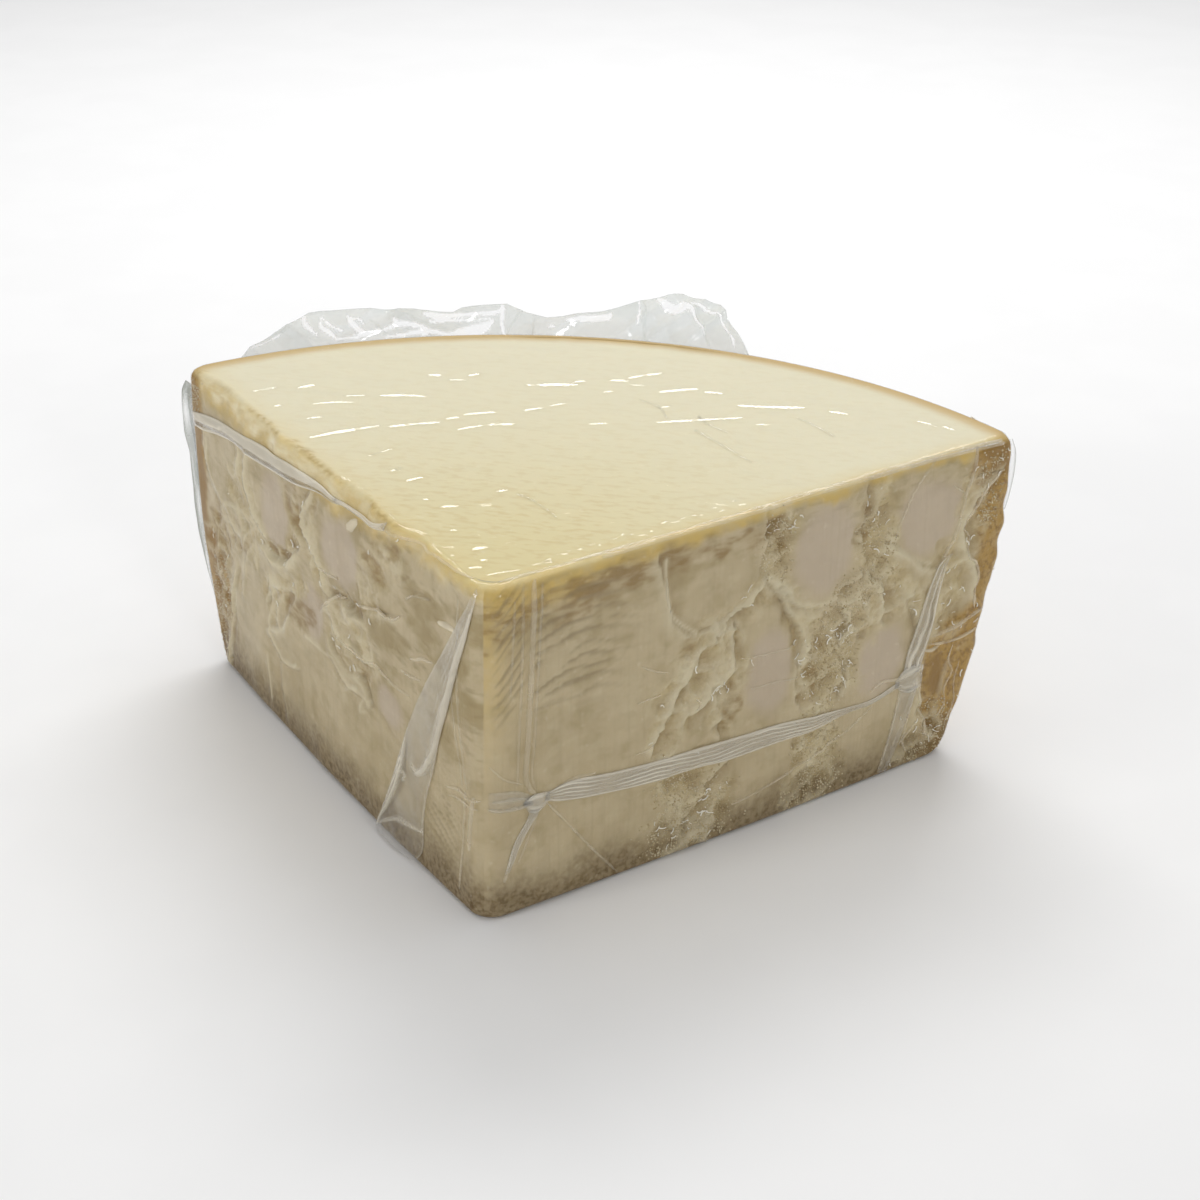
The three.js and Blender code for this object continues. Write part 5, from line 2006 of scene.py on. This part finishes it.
@dataclass(frozen=True)
class StandingEnd:
    """The bag's sealed open end, which stands up behind the rind.

    Its edge is a path of (degrees, z). It is clear along some paths of (degrees, z, half width), where
    the white behind shows through as painted highlight streaks, and creased along others, which are
    milkier as painted shade.
    """

    form: WedgeForm
    edge: Path = (
        (-44.6, 106), (-41.5, 108.5), (-38.6, 112), (-36.8, 116), (-35, 119.5), (-33.4, 121.5), (-32.4, 124),
        (-31.6, 126), (-30.6, 126.2), (-26, 125.2), (-20, 123.1), (-17.2, 122.1), (-16.4, 123.4), (-14, 123.4),
        (-11.9, 123.8), (-10, 120.6), (-8, 118.8), (-6.5, 119.3), (-4, 122), (0.5, 126.6), (5.6, 132), (8, 130.8),
        (9.6, 130.2), (11, 122), (12.6, 112), (22, 100), (42, 92),
    )
    clear: tuple[Path, ...] = (
        ((-32, 125, 0.5), (-31.9, 121.5, 0.8), (-31.3, 118.5, 0.6), (-30.8, 117, 0.3)),
        ((-30.3, 124, 0.3), (-30.4, 120, 0.7), (-29.6, 117.5, 0.9), (-29, 115, 0.5)),
        ((-30.3, 123.8, 0.3), (-29.4, 120, 0.5), (-28.4, 117.8, 0.5)),
        ((-27.7, 123, 0.5), (-27.3, 120, 0.9), (-26.6, 117, 1.0), (-26.1, 115, 0.7)),
        ((-27.7, 122.5, 0.3), (-26.5, 121, 0.3), (-26.2, 119.5, 0.3)),
        ((-29, 115, 0.4), (-26.5, 115, 0.5), (-24, 116.5, 0.6), (-22.5, 118, 0.9), (-21, 116.5, 0.9), (-20, 115, 0.8)),
        ((-23.1, 120.5, 0.3), (-22.9, 118.5, 0.9), (-23.2, 117, 0.5)),
        ((-24, 113.5, 0.5), (-21, 114, 0.8), (-20, 113, 0.9)),
        (
            (-20, 121.5, 0.8), (-18.5, 120.6, 1.3), (-17, 120.6, 0.9), (-15, 120.3, 0.6), (-13, 120.6, 0.7),
            (-12.3, 122, 0.5),
        ),
        ((-19.5, 118.4, 0.5), (-17.5, 118.9, 0.5), (-15, 118.2, 0.4), (-13.6, 118.4, 0.3)),
        ((-20.3, 114.5, 0.9), (-18, 113.4, 0.9), (-16.5, 113.8, 1.8), (-14.6, 115.2, 1.9), (-13.4, 117.5, 0.6)),
        ((-12.3, 123, 0.5), (-12.4, 119, 0.6), (-12.4, 115, 0.6), (-12.2, 112, 0.6)),
        ((-6, 118, 0.4), (-4.5, 119.3, 0.8), (-3, 120.6, 1.1), (-1.8, 121.6, 1.1), (-1.4, 123, 0.5)),
        ((1.2, 127, 0.4), (1.3, 124, 0.3), (1.2, 119, 0.3)),
        ((3.2, 128.6, 0.8), (4.2, 126.4, 1.5), (5.2, 126, 1.7), (6, 127.6, 1.6), (6.6, 125.6, 0.9)),
        ((6.6, 126.5, 0.7), (7.2, 122.5, 0.5), (7.9, 117.5, 0.3)),
        ((6.6, 129, 0.5), (8, 128, 0.6), (9, 126.5, 0.6)),
        ((9.2, 127, 0.3), (10, 123, 0.3), (10.8, 118, 0.3), (11, 114, 0.3)),
        ((-39, 112.5, 0.3), (-36.5, 115.5, 0.35), (-34.5, 118.5, 0.35)),
        ((-7.8, 115, 0.4), (-7.4, 115.3, 0.4)),
    )
    creases: tuple[Path, ...] = (
        ((1.8, 127), (1.9, 120), (2.1, 112)), ((-9.2, 120), (-9.4, 112)), ((6.8, 128), (7.7, 121), (8.4, 112)),
        ((-10.5, 121), (-11.5, 116), (-12, 111)), ((-38, 113.5), (-35, 118), (-33.5, 120.5)),
        ((-31.5, 115.6), (-30.3, 114.6), (-29.5, 113.5)), ((-25.6, 121), (-24.4, 117), (-24, 114)),
        ((-21.5, 120.5), (-20.4, 118), (-19, 116.5), (-17.6, 114)),
    )
    root_left: float = 88.0  # height where it leaves the rind
    root_right: float = 62.0
    flare: float = 8.5  # how far its edge stands off the rind
    seed: int = 401
    columns: int = 680
    rows: int = 68
    thick: float = 0.2

    def place(self, degrees: Array, z: Array, out: Array) -> Array:
        """Points on the standing film.

        Args:
            degrees: Angles from the middle of the rind.
            z: Heights.
            out: Distance out of the film.

        Returns:
            Points in the part's frame.
        """
        edge = np.array(self.edge)
        share = (degrees - edge[-1, 0]) / (edge[0, 0] - edge[-1, 0])
        root = self.root_right * (1 - share) + self.root_left * share
        top = np.interp(degrees, edge[:, 0], edge[:, 1])
        up = np.clip((z - root) / (top - root), 0, 1) ** 0.6
        angle = np.radians(degrees)
        arc = angle * self.form.radius
        creased = lambda x, y, cell, seed: 1 - 2.4 * abs(noise(x, y, cell, seed))
        fold = 1.8 * creased(arc + 0.9 * z, z * 0.35, 21.0, self.seed)
        fold = fold + 1.3 * creased(arc - 1.1 * z, z * 0.7, 11.0, self.seed + 3)
        ends = ease(share, 0, 0.05) * ease(share, 1, 0.97)
        off = (self.flare * np.sqrt(up) + fold * ease(up, 0.05, 0.6)) * (0.35 + 0.65 * ends)
        radius = self.form.rind_radius(angle, np.minimum(z, self.form.height)) + 0.2 + np.maximum(off, 0.3) + out
        return np.stack([radius * np.sin(angle), radius * np.cos(angle) - self.form.tip_to_origin, z], -1)

    def milk(self, degrees: Array, z: Array) -> Array:
        """How milky the standing film is: clear along painted highlight streaks, milkier along its creases as painted
        shade.
        """
        turn = math.radians(self.form.radius)
        arc = degrees * turn
        stray = 0.2 * crumble(arc, z, 3.0, self.seed + 5)
        veil = 0.34 + 0.04 * crumble(arc, z, 9.0, self.seed + 7)
        veil = veil + 0.06 * noise(arc + 0.9 * z, z * 0.5, 16.0, self.seed + 8)
        # painted highlight: the film is cleared along streaks so that the white behind shows
        for path in self.clear:
            gap, _, half = near_path(smooth_path(np.array(path) * (turn, 1, 1), 5), arc, z)
            veil = veil * (1 - 0.98 * ease((gap + stray) / half[..., 0], 1.25, 0.9))
        # painted shade: milkier, greyer lines along the creases
        for path in self.creases:
            gap = near_path(smooth_path(np.array(path) * (turn, 1), 5), arc, z)[0]
            veil = veil + 0.16 * bell(gap, 0.4)
        return np.clip(veil, 0, 0.8)

    def build(self, material: Finish) -> Piece:
        """The standing film as a closed sheet."""
        edge = np.array(self.edge)
        line = np.linspace(edge[-1, 0], edge[0, 0], self.columns)
        line = line - 6 * np.sin(2 * math.pi * (line - line[0]) / (line[-1] - line[0])) * 0.55
        top = np.interp(line, edge[:, 0], edge[:, 1])
        root = np.interp(line, edge[::-1, 0][[-1, 0]][::-1], (self.root_left, self.root_right))
        degrees, up = np.meshgrid(line, 1 - (1 - np.linspace(0, 1, self.rows)) ** 1.4)
        z = root + (top - root) * up
        rim = bell((1 - up) * (top - root), 0.5)
        milk = self.milk(degrees, z) + 0.15 * rim
        front, back = (self.place(degrees, z, np.full_like(z, out)) for out in (0, -self.thick))
        return film_sheet("standing_end", front, back, milk, material)


@dataclass(frozen=True)
class CornerWeb:
    """Film that spans a rind corner and stands off it, by a path of (z, distance off)."""

    name: str
    side: Side
    reach: Path
    back: float = -1.6
    milk: float = 0.03
    seed: int = 501
    rows: int = 90
    across: int = 16
    start: float = 1.5  # how far it reaches over the corner
    thick: float = 0.2

    def build(self, form: WedgeForm, material: Finish) -> Piece:
        """The web as a closed sheet."""
        line = evenly(self.reach, self.rows)
        v, z = np.meshgrid(np.linspace(0, 1, self.across), line[:, 0])
        corner = form.rind_radius(np.full(z.shape, self.side.value * form.half_angle), z)
        s = corner - self.start + (line[:, 1:] + self.start) * v
        out = self.back + 0.9 * noise(z, s, 11.0, self.seed) * v
        sheets = (self.flat(form, s, z, out - deep) for deep in (0, self.thick))
        milk = self.milk * (0.6 + 0.5 * noise(z * 0.5, s * 2, 6.0, self.seed + 1)) + 0.3 * bell(v - 1, 0.12)
        return film_sheet(self.name, *sheets, np.clip(milk, 0.02, 0.7), material)

    def flat(self, form: WedgeForm, s: Array, z: Array, out: Array) -> Array:
        """Points in the plane of the web's cut face, out of it by some distance."""
        sign, sin, cos = self.side.value, math.sin(form.half_angle), math.cos(form.half_angle)
        return np.stack([sign * (s * sin + out * cos), s * cos - out * sin - form.tip_to_origin, z], -1)


WEBS = (
    CornerWeb(
        "left_web", Side.LEFT, ((14, 0.5), (30, 3.5), (50, 6.5), (70, 8.0), (90, 8.5), (103, 8.0), (109, 4.5)), milk=0.5
    ),
    CornerWeb("right_tent", Side.RIGHT, ((88, 0.2), (94, 1.6), (102, 2.8), (109, 2.6), (114, 0.4)), -3.0, 0.1, 511),
)


# ---- studio


@dataclass(frozen=True)
class SoftBox:
    """A rectangular light, in metres and watts."""

    name: str
    place: tuple[float, float, float]
    target: tuple[float, float, float]
    size: tuple[float, float]
    power: float

    def build(self) -> None:
        """Hangs the light."""
        light = bpy.data.lights.new(self.name, "AREA")
        light.shape = "RECTANGLE"
        light.size, light.size_y = self.size
        light.energy = self.power
        lamp = bpy.data.objects.new(self.name, light)
        lamp.location = self.place
        lamp.rotation_euler = (Vector(self.target) - Vector(self.place)).to_track_quat("-Z", "Y").to_euler()
        bpy.context.scene.collection.objects.link(lamp)


# One overhead, a strip behind it for the streaks, and fills from both sides
LIGHTS = (
    SoftBox("overhead_box", (0.1, 0.25, 1.5), (0, 0, 0.1), (1.4, 1.0), 4.7),
    SoftBox("back_strip", (-0.15, 1.1, 1.25), (0, 0, 0.1), (1.2, 0.4), 12.5),
    SoftBox("left_fill", (-1.3, -1.1, 0.7), (0, 0, 0.05), (0.35, 0.35), 5.7),
    SoftBox("right_fill", (1.0, -1.2, 0.75), (0, 0, 0.05), (0.25, 0.25), 3.6),
)


@dataclass(frozen=True)
class Studio:
    """The floor, the lights and the camera, in metres."""

    floor: float = 6.0
    air: float = 0.42  # strength of the light from all round
    camera: tuple[float, float, float] = (0.1401, -0.6079, 0.3911)
    heading: float = 101.953  # direction of view in the plan, from +X
    pitch: float = -28.336
    lens: float = 61.6

    def build(self) -> None:
        """Sets up the stage."""
        self.add_floor()
        self.add_lights()
        self.add_camera()

    def add_floor(self) -> None:
        """A wide plain floor at the base."""
        half = self.floor / 2 / MM
        corners = np.array([[-half, -half, 0], [half, -half, 0], [half, half, 0], [-half, half, 0]])
        floor = make_piece("floor", corners, [[0, 1, 2, 3]], StudioFloor().build())

    def add_lights(self) -> None:
        """An even, white air and the soft boxes."""
        world = bpy.data.worlds.new("studio_air")
        world.use_nodes = True
        sky = world.node_tree.nodes["Background"].inputs
        sky["Color"].default_value = linear("#ffffff")
        sky["Strength"].default_value = self.air
        bpy.context.scene.world = world
        for light in LIGHTS:
            light.build()

    def add_camera(self) -> None:
        """The camera, looking down on the tip of the wedge."""
        data = bpy.data.cameras.new("camera")
        data.lens, data.sensor_width = self.lens, 36.0
        camera = bpy.data.objects.new("camera", data)
        yaw, pitch = math.radians(self.heading), math.radians(self.pitch)
        forward = Vector((math.cos(pitch) * math.cos(yaw), math.cos(pitch) * math.sin(yaw), math.sin(pitch)))
        camera.matrix_world = Matrix.Translation(self.camera) @ forward.to_track_quat("-Z", "Y").to_matrix().to_4x4()
        bpy.context.scene.collection.objects.link(camera)
        bpy.context.scene.camera = camera
        bpy.context.scene.view_settings.view_transform = "Standard"


# ---- all together


@dataclass
class SealedCheese:
    """The whole object: the cheese, the film drawn tight over it and the film that stands free."""

    form: WedgeForm = field(default_factory=WedgeForm)

    def __post_init__(self) -> None:
        """Works out the wedge and mixes the finishes."""
        self.wedge = TightWedge(self.form)
        self.tight = VacuumFilm("tight_film_skin", sheen=0.03, rim=0.5, grained=True).build()
        self.doubled = VacuumFilm("doubled_film", roughness=0.08, gather=3.0, depth=0.3).build()
        self.free = VacuumFilm(
            "free_film", 0.06, gather=9.0, depth=0.15, clear="#fdfdfd", white="#edf2f0", glow=0.4
        ).build()
        self.spanning = VacuumFilm("spanning_film", 0.06, white="#b6bab2", glow=0.5, sheen=0.02, rim=0.35).build()
        self.stretched = VacuumFilm("stretched_film", 0.04, gather=4.0, depth=0.02, sheen=0.09, fading=True).build()
        # near-white, glossy film for the curls: painted glints
        self.gathered = VacuumFilm("glint_curl_film", 0.15, gather=3.0, depth=0.2, white="#fffbee", sheen=0.3).build()
        self.pinched = VacuumFilm(
            "pinched_film", 0.12, gather=3.0, depth=0.2, white="#f8ecd0", sheen=0.05, rim=0.35
        ).build()

    def build(self) -> None:
        """Builds every piece and hands it to the frame."""
        cheese = self.wedge.build_cheese(ParmesanPaste().build())
        self.keep(LooseCrumbs().build(cheese, PressedCrumb().build()), "cheese")
        self.keep(cheese, "cheese")
        film = self.wedge.build_film(self.tight)
        self.keep(FilmCurls().build(film, self.gathered))
        self.keep(film)
        self.build_folds()
        self.build_welts()
        self.build_free_film()

    def build_folds(self) -> None:
        """The folds that lie on the cut faces."""
        left_folds = (*LEFT_FOLDS, FoldedEar())
        for relief, folds in ((self.wedge.right, RIGHT_FOLDS), (self.wedge.left, left_folds)):
            sheet = relief.drape(*LOOSE_DRAPE)
            for fold in folds:
                self.keep(fold.build(relief, sheet, self.doubled))

    def build_welts(self) -> None:
        """The pinched ridges on the cut faces and the top."""
        for name, relief, welts in (
            ("right_welts", self.wedge.right, RIGHT_WELTS),
            ("left_welts", self.wedge.left, LEFT_WELTS),
        ):
            over = partial(relief.over, relief.drape(*CLOSE_DRAPE))
            self.add_welts(name, welts, over, relief.marks.seed, self.pinched)
        self.keep(TopStreaks(self.over_top).build(self.stretched))
        self.add_welts("top_welts", TOP_WELTS, self.over_top, TOP_SEED, self.doubled)

    def add_welts(self, name: str, welts: tuple[Welt, ...], place: Any, seed: int, material: Finish) -> None:
        """Runs some welts over a surface as one piece.

        Args:
            name: The piece's name.
            welts: The welts.
            place: Gives the points for two coordinates and a height over the surface.
            seed: How they waver.
            material: What they are made of.
        """
        ridges = PinchedFilm(name, seed=seed)
        for welt in welts:
            ridges.add(welt, place)
        self.keep(ridges.build(material))

    def over_top(self, x: Array, y: Array, out: Array) -> Array:
        """Points over the film on the top face."""
        z = self.form.height + self.wedge.top_film(x, y) + out
        return np.stack([x, y - self.form.tip_to_origin, z], -1)

    def build_free_film(self) -> None:
        """The standing end, and the webs at the rind's corners."""
        self.keep(StandingEnd(self.form).build(self.free))
        for web in WEBS:
            self.keep(web.build(self.form, self.spanning))

    @staticmethod
    def keep(piece: Piece, slot: str = "clear_film") -> None:
        """Hands a piece to the frame and reports it.

        Args:
            piece: The finished piece.
            slot: Meant as the material slot that it takes its finish from; not used.
        """
        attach(piece, "root")
        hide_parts(NODE)
        LOG.info("%s: %d faces", piece.name, len(piece.data.polygons))


def main() -> None:
    """Loads the frame, and builds the object and its stage."""
    logging.basicConfig(level=logging.INFO, format="%(name)s: %(message)s")
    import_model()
    SealedCheese().build()
    Studio().build()


if __name__ == "__main__":
    main()
